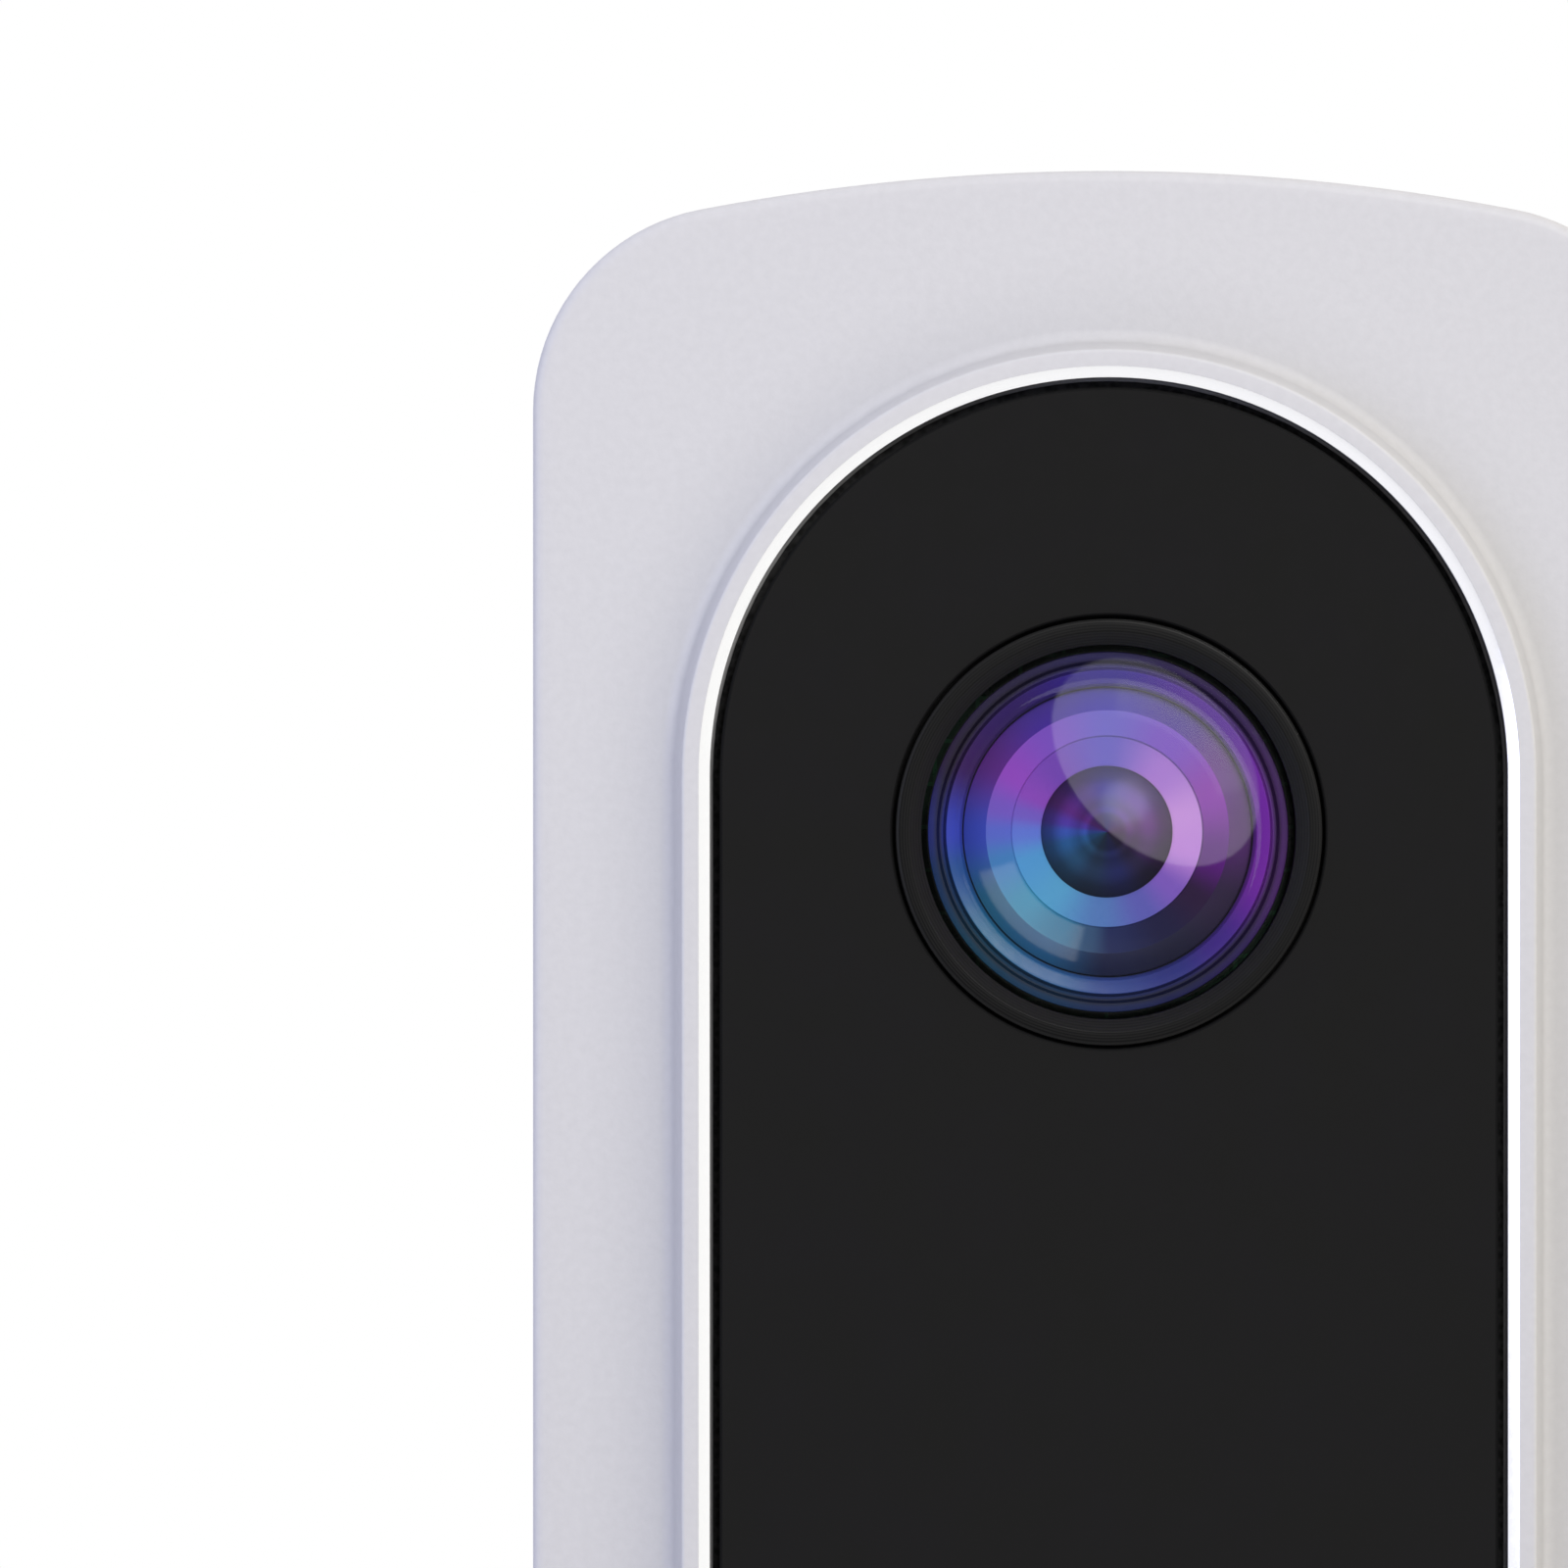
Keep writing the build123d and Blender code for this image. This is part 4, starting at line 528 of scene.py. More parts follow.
sheet = bpy.data.curves.new("panel outline", "CURVE")
sheet.dimensions = "2D"
sheet.fill_mode = "BOTH"
sheet.extrude = ((PANEL_FRONT - PANEL_BACK) / 2 - PANEL_EDGE) * mm
sheet.bevel_depth = PANEL_EDGE * mm
sheet.bevel_resolution = 3
sheet.offset = -PANEL_EDGE * mm
outlines = [
    [(point.x, point.z) for point in pill_ring(PANEL_R, 0)],
    round_hole(LENS_OPENING_R, LENS_HEIGHT, 128),
    round_hole(BUTTON_OPENING_R, BUTTON_HEIGHT, 128),
    round_hole(MICROPHONE_R, MICROPHONE_HEIGHT, 32),
]
for outline in outlines:
    spline = sheet.splines.new("POLY")
    spline.points.add(len(outline) - 1)
    for point, (x, z) in zip(spline.points, outline):
        point.co = (x, z, 0, 1)
    spline.use_cyclic_u = True
blank = bpy.data.objects.new("panel blank", sheet)
bpy.context.collection.objects.link(blank)
cast = bpy.data.meshes.new_from_object(blank.evaluated_get(bpy.context.evaluated_depsgraph_get()))
bpy.data.objects.remove(blank)
panel_mesh = bmesh.new()
panel_mesh.from_mesh(cast)
stand = Matrix.Translation((0, -(PANEL_BACK + PANEL_FRONT) / 2 * mm, 0)) @ Matrix.Rotation(pi / 2, 4, "X")
bmesh.ops.transform(panel_mesh, matrix=stand, verts=panel_mesh.verts)

black_acrylic = moulded(
    "black acrylic",
    dark=(0.0135, 0.0135, 0.0125),
    light=(0.0138, 0.0135, 0.0137),
    rough=(0.1, 0.14),
    pit=1.5 * mm,
    relief=0.3e-6,
    cloud=5 * mm,
)
front_panel = finished_object("front_panel_sheet", panel_mesh, black_acrylic)
edge_ink = moulded("edge ink", (0.006, 0.006, 0.006), (0.009, 0.009, 0.009), rough=(0.6, 0.7), relief=0.5e-6)
edge_ink.node_tree.nodes["Principled BSDF"].inputs["Specular IOR Level"].default_value = 0.1
front_panel.data.materials.append(edge_ink)
FLAT_ENOUGH = 0.99
for face in front_panel.data.polygons:
    on_edge = abs(face.normal.y) < FLAT_ENOUGH
    face.use_smooth = on_edge
    face.material_index = int(on_edge)
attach(front_panel, "unit")
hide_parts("front_panel")
dress(foam, "panel_adhesive")


# ---- camera body --------------------------------------------------------------------------------
# The lens holder stands over the image sensor and carries a black anodised barrel. Inside it are a
# small rear lens, an aperture ring and an infrared filter.

dress(terminal_plastic, "lens_holder", "aperture_ring")
dress(chip_resin, "image_sensor")

lens_axis = Vector((0, 0, LENS_HEIGHT)) * mm


def turned(profile, height, steps=160):
    """Turns a profile of (radius, depth) points about the forward axis at that height."""
    mesh = bmesh.new()
    rows = []
    for radius, depth in profile:
        if radius < 1e-6:
            rows.append([mesh.verts.new(Vector((0, -depth, height)) * mm)])
            continue
        row = []
        for step in range(steps):
            turn = 2 * pi * step / steps
            row.append(mesh.verts.new(Vector((radius * cos(turn), -depth, height + radius * sin(turn))) * mm))
        rows.append(row)
    closed = len(rows[0]) > 1 or len(rows[-1]) > 1
    for row, following in zip(rows, rows[1:] + rows[:1]):
        if following is rows[0] and not closed:
            break
        for step in range(steps):
            after = (step + 1) % steps
            corners = [row[step % len(row)], row[after % len(row)]]
            corners += [following[after % len(following)], following[step % len(following)]]
            unique = list(dict.fromkeys(corners))
            if len(unique) > 2:
                mesh.faces.new(unique)
    return mesh


def cap(edge_radius, edge_depth, apex_depth, steps=24):
    """Points of a round cap, from its apex on the axis to its edge."""
    rise = apex_depth - edge_depth
    sphere = (edge_radius**2 + rise**2) / (2 * abs(rise))
    sweep = acos(1 - abs(rise) / sphere)
    direction = 1 if rise > 0 else -1
    points = []
    for step in range(steps + 1):
        angle = sweep * step / steps
        points.append((sphere * sin(angle), apex_depth - direction * sphere * (1 - cos(angle))))
    return points


def round_axis(nodes, links, height):
    """Turn about the forward axis, from 0 at the left through 0.5 at the right, and distance from it."""
    place = nodes.new("ShaderNodeTexCoord")
    centred = nodes.new("ShaderNodeVectorMath")
    centred.operation = "SUBTRACT"
    centred.inputs[1].default_value = (0, 0, height * mm)
    split = nodes.new("ShaderNodeSeparateXYZ")
    flat = nodes.new("ShaderNodeCombineXYZ")
    turn = nodes.new("ShaderNodeTexGradient")
    turn.gradient_type = "RADIAL"
    away = nodes.new("ShaderNodeVectorMath")
    away.operation = "LENGTH"
    links.new(place.outputs["Object"], centred.inputs[0])
    links.new(centred.outputs["Vector"], split.inputs["Vector"])
    links.new(split.outputs["X"], flat.inputs["X"])
    links.new(split.outputs["Z"], flat.inputs["Y"])
    links.new(flat.outputs["Vector"], turn.inputs["Vector"])
    links.new(flat.outputs["Vector"], away.inputs[0])
    return turn.outputs["Fac"], away.outputs["Value"]


def painted_reflection_finish(name, sweep, bands, widest, rough=0.3, metal=0.0, gain=1.0):
    """Painted reflection: reflected colours painted by the turn in degrees, dimmed and lifted in bands by
    radius in mm.
    """
    material, nodes, links, shader = new_finish(name)
    shader.inputs["Metallic"].default_value = metal
    shader.inputs["Specular IOR Level"].default_value = 0.12
    turn, away = round_axis(nodes, links, LENS_HEIGHT)
    colours = nodes.new("ShaderNodeValToRGB")
    stops = sorted(sweep)
    stops = [(-180, stops[0][1])] + [stop for stop in stops if stop[0] > -180] + [(180, stops[0][1])]
    ramp = colours.color_ramp
    ramp.interpolation = "EASE"
    for index, (angle, colour) in enumerate(stops):
        if index < 2:
            stop = ramp.elements[index]
        else:
            stop = ramp.elements.new(1.0)
        stop.position = (angle + 180) / 360
        stop.color = (*[min(1, gain * part) for part in colour], 1)
    links.new(turn, colours.inputs["Fac"])
    outward = nodes.new("ShaderNodeMath")
    outward.operation = "DIVIDE"
    outward.inputs[1].default_value = widest * mm
    links.new(away, outward.inputs[0])
    dims = nodes.new("ShaderNodeValToRGB")
    for index, (radius, share) in enumerate(bands):
        stop = dims.color_ramp.elements[index] if index < 2 else dims.color_ramp.elements.new(1.0)
        stop.position = radius / widest
        stop.color = (share, share, share, 1)
    links.new(outward.outputs["Value"], dims.inputs["Fac"])
    dimmed = nodes.new("ShaderNodeMix")
    dimmed.data_type = "RGBA"
    dimmed.blend_type = "MULTIPLY"
    dimmed.inputs["Factor"].default_value = 1.0
    links.new(colours.outputs["Color"], dimmed.inputs["A"])
    links.new(dims.outputs["Color"], dimmed.inputs["B"])
    links.new(dimmed.outputs["Result"], shader.inputs["Base Color"])
    haze = grain(nodes, links, 0.5 * mm)
    spread(nodes, links, haze, rough * 0.85, rough * 1.15, shader.inputs["Roughness"])
    return material


def fit_piece(name, mesh, material, body, node, crease=35):
    """Finishes a mesh, rides it on its body and lets it stand for its CAD piece."""
    piece = finished_object(name, mesh, material, crease=crease)
    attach(piece, body)
    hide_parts(node)
    return piece


# Painted reflections inside the lens: each sweep gives the colour of the coating's reflections at each turn
# round the axis.
crescent_sweep = [
    (-180, (0.03, 0.05, 0.42)),
    (-165, (0.01, 0.07, 0.26)),
    (-140, (0.01, 0.12, 0.24)),
    (-110, (0.02, 0.1, 0.26)),
    (-90, (0.03, 0.06, 0.24)),
    (-65, (0.025, 0.03, 0.19)),
    (-45, (0.05, 0.02, 0.22)),
    (-15, (0.16, 0.02, 0.33)),
    (15, (0.16, 0.02, 0.34)),
    (50, (0.1, 0.02, 0.3)),
    (90, (0.03, 0.015, 0.25)),
    (130, (0.03, 0.012, 0.11)),
    (155, (0.04, 0.012, 0.1)),
]
barrel_painted_reflection = painted_reflection_finish(
    "barrel mouth painted reflection",
    crescent_sweep,
    [(7.0, 0.1), (7.5, 0.5), (7.7, 1.0), (8.4, 1.0), (8.6, 0.6), (8.8, 0.12), (8.95, 0.12), (9.15, 0.35)],
    widest=9.5,
    rough=0.35,
)
barrel = eased([
    (4.1, 16.25, 0),
    (6.9, 16.25, 0.1),
    (6.9, 20.4, 0.05),
    (8.9, 20.4, 0.1),
    (8.9, 23.2, 0),
    (9.4, 23.2, 0.05),
    (9.4, 23.9, 0.05),
    (8.95, 23.9, 0.02),
    (8.8, 23.7, 0.02),
    (8.6, 23.7, 0.02),
    (8.45, 24.15, 0.05),
    (7.75, 23.95, 0.05),
    (7.6, 23.6, 0.05),
    (7.6, 21.4, 0),
    (6.1, 21.4, 0),
    (6.1, 18.2, 0),
    (4.1, 18.2, 0),
], steps=4)
barrel_piece = fit_piece(
    "lens_barrel_turned", turned(barrel, LENS_HEIGHT), barrel_painted_reflection, "unit", "lens_barrel"
)

# Painted reflections for the baffle's steps, its throat and its outer step.
deep_sweep = [
    (-180, (0.1, 0.14, 0.6)),
    (-165, (0.05, 0.21, 0.5)),
    (-140, (0.03, 0.26, 0.42)),
    (-115, (0.02, 0.17, 0.3)),
    (-100, (0.03, 0.08, 0.17)),
    (-88, (0.012, 0.02, 0.09)),
    (-60, (0.01, 0.009, 0.05)),
    (-35, (0.025, 0.008, 0.045)),
    (-12, (0.12, 0.01, 0.22)),
    (20, (0.3, 0.03, 0.46)),
    (55, (0.22, 0.07, 0.6)),
    (90, (0.15, 0.12, 0.62)),
    (120, (0.22, 0.09, 0.58)),
    (150, (0.3, 0.07, 0.55)),
    (168, (0.18, 0.1, 0.55)),
]
bright_sweep = [
    (-180, (0.12, 0.19, 0.67)),
    (-160, (0.08, 0.32, 0.63)),
    (-130, (0.09, 0.35, 0.59)),
    (-95, (0.09, 0.2, 0.48)),
    (-65, (0.12, 0.12, 0.46)),
    (-40, (0.24, 0.12, 0.55)),
    (-12, (0.66, 0.3, 0.82)),
    (12, (0.72, 0.34, 0.86)),
    (45, (0.5, 0.21, 0.78)),
    (90, (0.14, 0.11, 0.62)),
    (130, (0.2, 0.07, 0.5)),
    (155, (0.27, 0.07, 0.52)),
    (168, (0.18, 0.11, 0.56)),
]
outer_sweep = [
    (-180, (0.02, 0.045, 0.42)),
    (-150, (0.005, 0.11, 0.22)),
    (-120, (0.005, 0.09, 0.22)),
    (-90, (0.002, 0.006, 0.046)),
    (-60, (0.002, 0.002, 0.03)),
    (-30, (0.016, 0.003, 0.04)),
    (0, (0.078, 0.005, 0.14)),
    (30, (0.11, 0.01, 0.21)),
    (60, (0.045, 0.005, 0.27)),
    (90, (0.025, 0.01, 0.37)),
    (120, (0.045, 0.01, 0.29)),
    (150, (0.086, 0.005, 0.21)),
]
THROAT_R = 5.0
STEP_R = 6.35
baffle_painted_reflection = painted_reflection_finish(
    "baffle steps painted reflection", deep_sweep, [(THROAT_R, 1.0), (STEP_R, 0.95)], widest=8.0, rough=0.4
)
outer_step_painted_reflection = painted_reflection_finish(
    "outer step painted reflection", outer_sweep, [(STEP_R, 1.0), (7.5, 0.8)], widest=8.0, rough=0.4
)
throat_painted_reflection = painted_reflection_finish(
    "throat painted reflection", bright_sweep, [(3.4, 0.85), (3.6, 1.0), (4.9, 1.0)], widest=5.2, rough=0.3
)
baffle = eased([
    (3.45, 21.42, 0),
    (7.53, 21.42, 0),
    (7.53, 23.0, 0.04),
    (STEP_R, 23.0, 0.04),
    (5.05, 22.5, 0.03),
    (4.97, 22.3, 0.03),
    (3.45, 21.5, 0),
], steps=3)
baffle_piece = fit_piece(
    "lens_baffle_turned", turned(baffle, LENS_HEIGHT), baffle_painted_reflection, "unit", "lens_baffle"
)
baffle_piece.data.materials.append(throat_painted_reflection)
baffle_piece.data.materials.append(outer_step_painted_reflection)
for face in baffle_piece.data.polygons:
    out = (face.center - lens_axis).xz.length / mm
    if out < THROAT_R:
        face.material_index = 1
    elif out > STEP_R:
        face.material_index = 2

# Painted reflection for the second lens, with painted rings of light and shade by radius.
eye_sweep = [
    (-180, (0.04, 0.09, 0.42)),
    (-165, (0.02, 0.1, 0.27)),
    (-140, (0.017, 0.07, 0.15)),
    (-110, (0.015, 0.035, 0.08)),
    (-75, (0.015, 0.02, 0.1)),
    (-45, (0.02, 0.015, 0.05)),
    (-20, (0.05, 0.01, 0.09)),
    (10, (0.1, 0.01, 0.17)),
    (45, (0.08, 0.01, 0.25)),
    (90, (0.02, 0.01, 0.26)),
    (125, (0.06, 0.02, 0.18)),
    (150, (0.1, 0.02, 0.2)),
    (168, (0.08, 0.04, 0.35)),
]
eye_painted_reflection = painted_reflection_finish(
    "eye painted reflection",
    eye_sweep,
    [(0.0, 0.45), (0.9, 0.5), (1.15, 1.0), (1.5, 0.7), (2.1, 1.1), (2.4, 1.0), (2.9, 0.5), (3.4, 0.35)],
    widest=5.0,
    rough=0.2,
)
EYE_R = 5.0
EYE_EDGE = 20.6
EYE_APEX = 21.95
eye = [(0, 19.3), (6.05, 19.3), (6.05, EYE_EDGE), (EYE_R, EYE_EDGE)]
eye += list(reversed(cap(EYE_R, EYE_EDGE, EYE_APEX)))
eye_piece = fit_piece(
    "second_lens_painted_reflection", turned(eye, LENS_HEIGHT), eye_painted_reflection, "unit", "second_lens"
)

filter_glass = moulded(
    "filter glass",
    dark=(0.02, 0.05, 0.05),
    light=(0.03, 0.07, 0.07),
    rough=(0.05, 0.1),
    relief=0.2e-6,
)
dress(filter_glass, "infrared_filter", "third_lens")


# ---- front lens ---------------------------------------------------------------------------------
# The domed outer element: clear polished glass with a thin coating, which lets the light through and
# mirrors the lamps of the room faintly on its two faces. Clear cement holds its flat rim.

MIRROR_FACE_ON = 0.045
MIRROR_EDGE_ON = 1.0
MIRROR_FALL = 5.0
front_glass = bpy.data.materials.new("front lens glass")
front_glass.use_nodes = True
nodes = front_glass.node_tree.nodes
links = front_glass.node_tree.links
nodes.remove(nodes["Principled BSDF"])
through = nodes.new("ShaderNodeBsdfTransparent")
through.inputs["Color"].default_value = (0.985, 0.985, 0.99, 1)
mirror = nodes.new("ShaderNodeBsdfGlossy")
smears = grain(nodes, links, 3 * mm)
spread(nodes, links, smears, 0.015, 0.03, mirror.inputs["Roughness"])
tilt = nodes.new("ShaderNodeLayerWeight")
steepness = nodes.new("ShaderNodeMath")
steepness.operation = "POWER"
steepness.inputs[1].default_value = MIRROR_FALL
share = nodes.new("ShaderNodeMapRange")
share.inputs["To Min"].default_value = MIRROR_FACE_ON
share.inputs["To Max"].default_value = MIRROR_EDGE_ON
blend = nodes.new("ShaderNodeMixShader")
links.new(tilt.outputs["Facing"], steepness.inputs[0])
links.new(steepness.outputs["Value"], share.inputs["Value"])
links.new(share.outputs["Result"], blend.inputs["Fac"])
links.new(through.outputs["BSDF"], blend.inputs[1])
links.new(mirror.outputs["BSDF"], blend.inputs[2])
links.new(blend.outputs["Shader"], nodes["Material Output"].inputs["Surface"])

DOME_R = 9.5
DOME_EDGE = 25.2
DOME_APEX = 27.2
BOWL_R = 8.0
BOWL_TOP = 25.6
DOME_BACK = 24.22
dome = cap(DOME_R, DOME_EDGE, DOME_APEX, steps=40)
dome += [(DOME_R, DOME_BACK)]
dome += list(reversed(cap(BOWL_R, DOME_BACK, BOWL_TOP, steps=32)))
dome_mesh = turned(dome, LENS_HEIGHT, steps=192)
front_lens = fit_piece(
    "front_lens_dome", dome_mesh, front_glass, "unit", "front_lens", crease=50
)
CEMENT_FACE_ON = 0.001
CEMENT_EDGE_ON = 0.01
CEMENT_FILM = 0.02
cement = front_glass.copy()
cement.name = "clear cement"
cemented_share = cement.node_tree.nodes[share.name]
cemented_share.inputs["To Min"].default_value = CEMENT_FACE_ON
cemented_share.inputs["To Max"].default_value = CEMENT_EDGE_ON
front_lens.data.materials.append(cement)
for face in front_lens.data.polygons:
    if face.center.y > -(DOME_BACK + CEMENT_FILM) * mm:
        face.material_index = 1


# ---- trim ring ----------------------------------------------------------------------------------
# A turned black ring that holds the dome down: a satin lip stands proud of the panel, and a funnel
# inside it drops to the glass.

LATHE_PITCH = 0.9 * mm
trim_black, nodes, links, shader = new_finish("satin black anodising")
shader.inputs["Metallic"].default_value = 0.3
shader.inputs["Specular IOR Level"].default_value = 0.2
away = round_axis(nodes, links, LENS_HEIGHT)[1]
lathe = nodes.new("ShaderNodeTexWave")
lathe.inputs["Scale"].default_value = 2.0
lathe.inputs["Distortion"].default_value = 0.4
feed = nodes.new("ShaderNodeCombineXYZ")
finer = nodes.new("ShaderNodeMath")
finer.operation = "DIVIDE"
finer.inputs[1].default_value = LATHE_PITCH
links.new(away, finer.inputs[0])
links.new(finer.outputs["Value"], feed.inputs["X"])
links.new(feed.outputs["Vector"], lathe.inputs["Vector"])
tool_marks = lathe.outputs["Fac"]
tint(nodes, links, tool_marks, (0.01, 0.01, 0.01), (0.017, 0.017, 0.016), shader.inputs["Base Color"])
spread(nodes, links, tool_marks, 0.36, 0.44, shader.inputs["Roughness"])
emboss(nodes, links, tool_marks, 1.5e-6, shader)
trim = eased([
    (9.75, 22.72, 0),
    (12.9, 22.72, 0.1),
    (12.9, 24.13, 0.1),
    (11.1, 24.13, 0.05),
    (11.1, 25.9, 0.22),
    (10.42, 25.9, 0.06),
    (9.75, 25.2, 0.05),
], steps=5)
trim_mesh = turned(trim, LENS_HEIGHT, steps=192)
fit_piece("lens_trim_turned", trim_mesh, trim_black, "unit", "lens_trim_ring")


# ---- night lights -------------------------------------------------------------------------------
# Six infrared lamps and a light sensor on a ring-shaped board round the barrel, behind the panel.
# Their resin is clear and faintly straw-coloured.

clear_resin = moulded("clear resin", (0.62, 0.6, 0.52), (0.72, 0.7, 0.6), rough=(0.08, 0.14), relief=0.4e-6)
dress(clear_resin, "night_lamps", "ring_lamps")


# ---- bell button --------------------------------------------------------------------------------
# A dished black acrylic cap with an inlaid white bell, in a frosted light ring. A rubber ring keeps
# rain from the switch on the board behind it.

dress(silicone, "button_seal")
dress(terminal_plastic, "bell_switch", "switch_plunger")
dress(black_acrylic, "button_cap")
inlay_white = moulded("inlay white", (0.7, 0.71, 0.73), (0.77, 0.78, 0.8), rough=(0.3, 0.4), relief=1e-6)
dress(inlay_white, "button_sign")

frosted, nodes, links, shader = new_finish("frosted light ring")
shader.inputs["Subsurface Weight"].default_value = 0.3
shader.inputs["Subsurface Radius"].default_value = (1, 1, 1)
shader.inputs["Subsurface Scale"].default_value = 0.6 * mm
frost = grain(nodes, links, 0.3 * mm)
tint(nodes, links, frost, (0.66, 0.69, 0.72), (0.78, 0.8, 0.83), shader.inputs["Base Color"])
spread(nodes, links, frost, 0.3, 0.45, shader.inputs["Roughness"])
emboss(nodes, links, frost, 3e-6, shader)
glow_ring = eased([
    (10.9, 22.42, 0),
    (13.4, 22.42, 0.1),
    (13.4, 24.08, 0.1),
    (12.35, 24.08, 0.05),
    (12.35, 25.75, 0.2),
    (10.9, 25.75, 0.2),
], steps=5)
glow_mesh = turned(glow_ring, BUTTON_HEIGHT, steps=192)
fit_piece("light_ring_moulded", glow_mesh, frosted, "unit", "light_ring")


# ---- setup button -------------------------------------------------------------------------------
# A small white button in the right side wall: a separate moulding in the same ABS as the shell, held
# from behind by its flange. The switch on the main board is a black block.

dress(white_plastic, "setup_button")
dress(terminal_plastic, "setup_switch")


# ---- floor --------------------------------------------------------------------------------------
# A pale painted studio floor, well below the object. It is left out of mirror reflections, so that it
# doesn't darken the polished bevel.

FLOOR_DROP = 0.9
FLOOR_HALF = 0.5
floor_mesh = bmesh.new()
bmesh.ops.create_grid(floor_mesh, x_segments=8, y_segments=8, size=FLOOR_HALF)
bmesh.ops.translate(floor_mesh, vec=(0, 0, -FLOOR_DROP), verts=floor_mesh.verts)
floor = finished_object("floor", floor_mesh, moulded("floor paint", (0.8, 0.8, 0.8), (0.84, 0.84, 0.84)))
floor.visible_glossy = False


# ---- room light ---------------------------------------------------------------------------------
# A white room. Where the object faces it is dim, so that the black panel and the dome stay dark; the
# sides and the back are bright, cooler at the left and warmer at the right.

world = bpy.data.worlds.new("studio")
bpy.context.scene.world = world
world.use_nodes = True
nodes = world.node_tree.nodes
links = world.node_tree.links
nodes.clear()


def zone(values, edges):
    """Strength by the direction's depth part: one value in front, one at the sides, one behind."""
    place = nodes.new("ShaderNodeTexCoord")
    parts = nodes.new("ShaderNodeSeparateXYZ")
    links.new(place.outputs["Generated"], parts.inputs["Vector"])
    steps = []
    for index in range(len(edges)):
        step = nodes.new("ShaderNodeMapRange")
        step.interpolation_type = "SMOOTHSTEP"
        step.inputs["From Min"].default_value = edges[index][0]
        step.inputs["From Max"].default_value = edges[index][1]
        step.inputs["To Min"].default_value = 0.0
        step.inputs["To Max"].default_value = values[index + 1] - values[index]
        links.new(parts.outputs["Y"], step.inputs["Value"])
        steps.append(step.outputs["Result"])
    total = nodes.new("ShaderNodeMath")
    total.operation = "ADD"
    links.new(steps[0], total.inputs[0])
    links.new(steps[1], total.inputs[1])
    lifted = nodes.new("ShaderNodeMath")
    lifted.operation = "ADD"
    lifted.inputs[1].default_value = values[0]
    links.new(total.outputs["Value"], lifted.inputs[0])
    return lifted.outputs["Value"], parts


def room(values, edges, left, right):
    """One version of the room: its zones of strength, and its colours at the left and the right."""
    strength, parts = zone(values, edges)
    across = nodes.new("ShaderNodeMapRange")
    across.inputs["From Min"].default_value = -0.8
    across.inputs["From Max"].default_value = 0.8
    links.new(parts.outputs["X"], across.inputs["Value"])
    colours = nodes.new("ShaderNodeValToRGB")
    colours.color_ramp.elements[0].color = (*left, 1)
    colours.color_ramp.elements[1].color = (*right, 1)
    links.new(across.outputs["Result"], colours.inputs["Fac"])
    glow = nodes.new("ShaderNodeBackground")
    links.new(colours.outputs["Color"], glow.inputs["Color"])
    links.new(strength, glow.inputs["Strength"])
    return glow


lit_room = room(
    values=(0.36, 0.8, 0.75),
    edges=((-0.8, -0.5), (-0.1, 0.2)),
    left=(0.54, 0.555, 0.73),
    right=(0.96, 0.89, 0.78),
)
mirrored_room = room(
    values=(0.12, 1.05, 1.0),
    edges=((-0.66, -0.45), (0.0, 0.2)),
    left=(0.97, 0.97, 1.0),
    right=(1.0, 1.0, 0.98),
)
paper_white = nodes.new("ShaderNodeBackground")
path = nodes.new("ShaderNodeLightPath")
by_gloss = nodes.new("ShaderNodeMixShader")
by_camera = nodes.new("ShaderNodeMixShader")
room_output = nodes.new("ShaderNodeOutputWorld")
paper_white.inputs["Color"].default_value = (1, 1, 1, 1)
links.new(path.outputs["Is Glossy Ray"], by_gloss.inputs["Fac"])
links.new(lit_room.outputs["Background"], by_gloss.inputs[1])
links.new(mirrored_room.outputs["Background"], by_gloss.inputs[2])
links.new(path.outputs["Is Camera Ray"], by_camera.inputs["Fac"])
links.new(by_gloss.outputs["Shader"], by_camera.inputs[1])
links.new(paper_white.outputs["Background"], by_camera.inputs[2])
links.new(by_camera.outputs["Shader"], room_output.inputs["Surface"])


# ---- lamps --------------------------------------------------------------------------------------
# Soft boxes: a large warm-white one at the upper right, a cooler one at the left, one that reaches
# into the lens, and one whose shape the dome mirrors.

def soft_box(name, place, size, energy, colour, aim):
    data = bpy.data.lights.new(name, "AREA")
    data.shape = "DISK"
    data.size = size
    data.energy = energy
    data.color = colour
    lamp = bpy.data.objects.new(name, data)
    lamp.location = place
    lamp.rotation_euler = (aim - lamp.location).to_track_quat("-Z", "Y").to_euler()
    lamp.visible_camera = False
    bpy.context.collection.objects.link(lamp)
    return lamp


def reach_only(lamp, pieces, state):
    """Lets the lamp light only those pieces, or all but those."""
    group = bpy.data.collections.new(lamp.name + " pieces")
    for piece in pieces:
        group.objects.link(piece)
    lamp.light_linking.receiver_collection = group
    for member in group.collection_objects:
        member.light_linking.link_state = state


aim = lens_axis
inside_lens = [barrel_piece, baffle_piece, eye_piece]
key = soft_box(
    "key", place=(0.16, -0.52, 0.3), size=0.25, energy=1.54, colour=(1.0, 0.985, 0.97), aim=aim
)
reach_only(key, [front_lens, *inside_lens], "EXCLUDE")
fill = soft_box(
    "fill", place=(-0.2, -0.2, 0.05), size=0.16, energy=0.14, colour=(0.62, 0.68, 1.0), aim=aim
)
reach_only(fill, [front_lens, *inside_lens], "EXCLUDE")
lens_lamp = soft_box(
    "lens lamp", place=(0.14, -0.6, 0.22), size=0.3, energy=3.2, colour=(1.0, 1.0, 1.0), aim=aim
)
reach_only(lens_lamp, inside_lens, "INCLUDE")

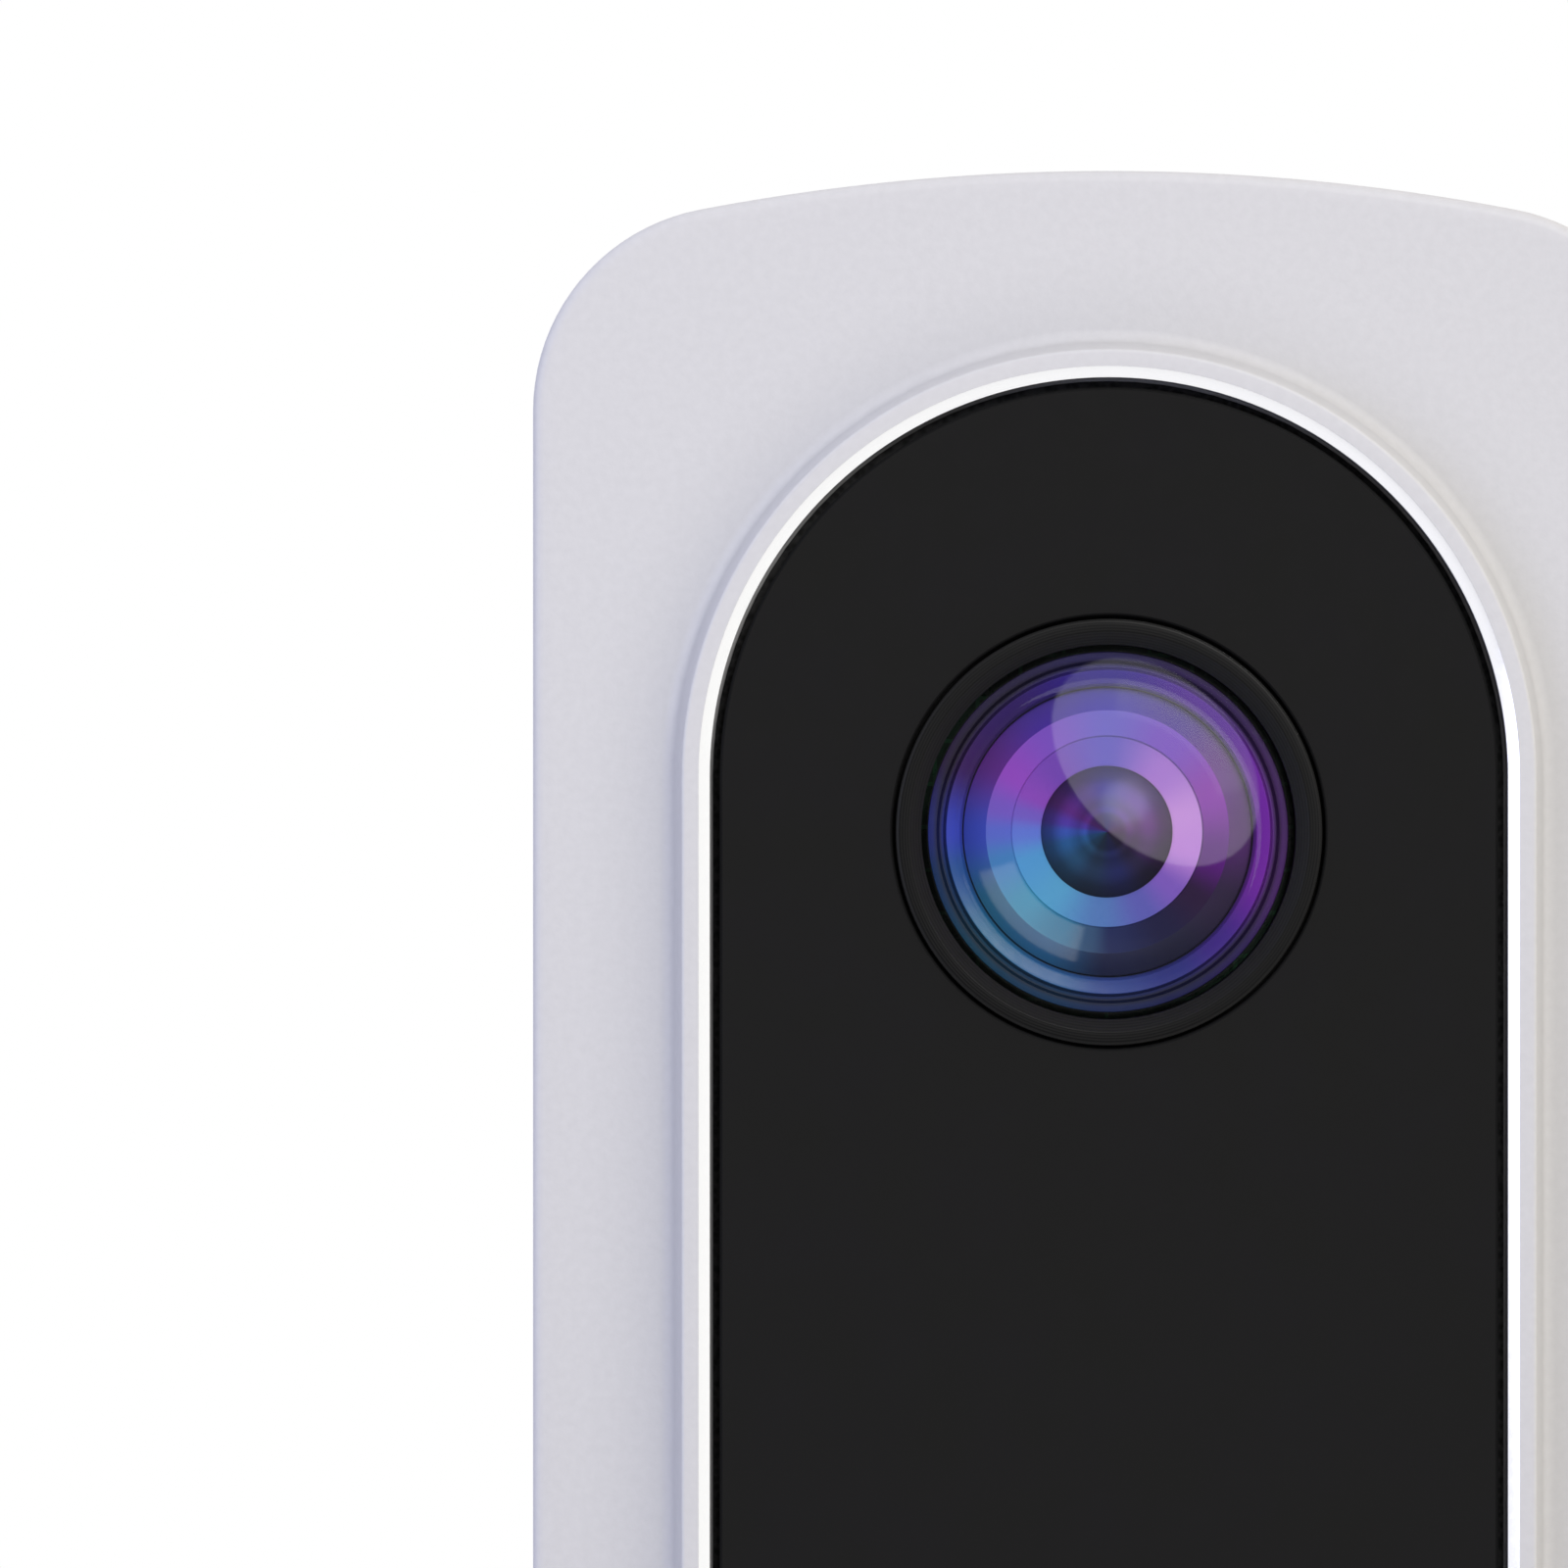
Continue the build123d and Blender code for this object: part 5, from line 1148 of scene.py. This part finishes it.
# The mirrored lamp: a panel of light square on to the lens, with a gobo whose openings are drawn in
# the dome's own millimetres: a leaning oval with a window bar in it, a second bar, and a thin arc.
MIRRORED_SIZE = 1.2
MIRRORED_DISTANCE = 0.5
MIRRORED_SHIFT = 14 * mm
mirrored_place = lens_axis + Vector((MIRRORED_SHIFT, -MIRRORED_DISTANCE - DOME_APEX * mm, 0))
mirrored = soft_box("mirrored lamp", mirrored_place, MIRRORED_SIZE, 1.0, (1.0, 0.98, 1.0), lens_axis)
mirrored.data.shape = "SQUARE"
mirrored.rotation_euler = (pi / 2, 0, 0)
reach_only(mirrored, [front_lens], "INCLUDE")
mirrored.data.energy = pi * MIRRORED_SIZE**2
mirrored.data.use_nodes = True
nodes = mirrored.data.node_tree.nodes
links = mirrored.data.node_tree.links


def calc(operation, *terms):
    """One sum on the gobo: each term is a number or another sum's result."""
    node = nodes.new("ShaderNodeMath")
    node.operation = operation
    for socket, term in zip(node.inputs, terms):
        if isinstance(term, (int, float)):
            socket.default_value = term
        else:
            links.new(term, socket)
    return node.outputs["Value"]


def soft_step(value, closed, opened):
    """Goes from 0 to 1 as the value goes from closed to opened."""
    step = nodes.new("ShaderNodeMapRange")
    step.interpolation_type = "SMOOTHSTEP"
    step.inputs["From Min"].default_value = closed
    step.inputs["From Max"].default_value = opened
    links.new(value, step.inputs["Value"])
    return step.outputs["Result"]


def bar(near, far, start, end, soft_edge=0.08, soft_turn=2.0):
    """Opening between two distances in mm and two turns in degrees."""
    inner = soft_step(from_middle, near - soft_edge, near + soft_edge)
    outer = soft_step(from_middle, far + soft_edge, far - soft_edge)
    first = soft_step(turn_round, radians(start - soft_turn), radians(start + soft_turn))
    last = soft_step(turn_round, radians(end + soft_turn), radians(end - soft_turn))
    return calc("MULTIPLY", calc("MULTIPLY", inner, outer), calc("MULTIPLY", first, last))


dome_rise = DOME_APEX - DOME_EDGE
dome_sphere = (DOME_R**2 + dome_rise**2) / (2 * dome_rise)
face_place = nodes.new("ShaderNodeNewGeometry")
halves = nodes.new("ShaderNodeSeparateXYZ")
links.new(face_place.outputs["Parametric"], halves.inputs["Vector"])
across = calc("MULTIPLY", calc("SUBTRACT", halves.outputs["X"], 0.5), MIRRORED_SIZE)
upward = calc("MULTIPLY", calc("SUBTRACT", halves.outputs["Y"], 0.5), MIRRORED_SIZE)
off_middle = calc("SQRT", calc("ADD", calc("MULTIPLY", across, across), calc("MULTIPLY", upward, upward)))
lean = calc("ARCTAN2", off_middle, MIRRORED_DISTANCE)
from_middle = calc("MULTIPLY", calc("SINE", calc("MULTIPLY", lean, 0.5)), dome_sphere)
turn_round = calc("ARCTAN2", upward, across)
OVAL_MIDDLE = (2.6, 3.7)
OVAL_HALF_SHORT = 4.5
OVAL_HALF_LONG = 6.5
OVAL_SOFTNESS = 0.04
OVAL_STRENGTH = 1.15
WINDOW_STRENGTH = 0.35
SECOND_STRENGTH = 0.9
ARC_STRENGTH = 1.3
right = calc("SUBTRACT", calc("MULTIPLY", from_middle, calc("COSINE", turn_round)), OVAL_MIDDLE[0])
up = calc("SUBTRACT", calc("MULTIPLY", from_middle, calc("SINE", turn_round)), OVAL_MIDDLE[1])
short_part = calc("MULTIPLY", calc("ADD", right, up), sqrt(0.5) / OVAL_HALF_SHORT)
long_part = calc("MULTIPLY", calc("SUBTRACT", right, up), sqrt(0.5) / OVAL_HALF_LONG)
rim_of_oval = calc("ADD", calc("MULTIPLY", short_part, short_part), calc("MULTIPLY", long_part, long_part))
oval_opening = soft_step(rim_of_oval, 1 + OVAL_SOFTNESS, 1 - OVAL_SOFTNESS)
oval = calc("MULTIPLY", oval_opening, OVAL_STRENGTH)
window_bar = calc("MULTIPLY", bar(near=6.2, far=8.2, start=18, end=86), WINDOW_STRENGTH)
second_bar = calc("MULTIPLY", bar(near=5.3, far=7.2, start=-162, end=-104), SECOND_STRENGTH)
arc_opening = bar(near=8.15, far=8.6, start=-155, end=-100, soft_turn=14.0)
thin_arc = calc("MULTIPLY", arc_opening, ARC_STRENGTH)
brightness = calc("ADD", calc("ADD", oval, window_bar), calc("ADD", second_bar, thin_arc))
links.new(brightness, nodes["Emission"].inputs["Strength"])


# ---- camera -------------------------------------------------------------------------------------
# Square on to the front with a long lens, framed on the top left of the housing, so that the right
# side and the lower half run out of the frame.

VIEW_WIDTH = 81.5 * mm
VIEW_DISTANCE = 0.6
VIEW_MIDDLE = (-16.9 * mm, 36.0 * mm)
SENSOR_WIDTH = 36
camera_data = bpy.data.cameras.new("camera")
camera_data.sensor_width = SENSOR_WIDTH
camera_data.lens = SENSOR_WIDTH * VIEW_DISTANCE / VIEW_WIDTH
camera_data.clip_start = 0.01
camera_data.clip_end = 10
camera = bpy.data.objects.new("camera", camera_data)
camera.location = (VIEW_MIDDLE[0], -RIM_TOP * mm - VIEW_DISTANCE, VIEW_MIDDLE[1])
camera.rotation_euler = (pi / 2, 0, 0)
bpy.context.collection.objects.link(camera)
bpy.context.scene.camera = camera
bpy.context.scene.view_settings.view_transform = "Standard"
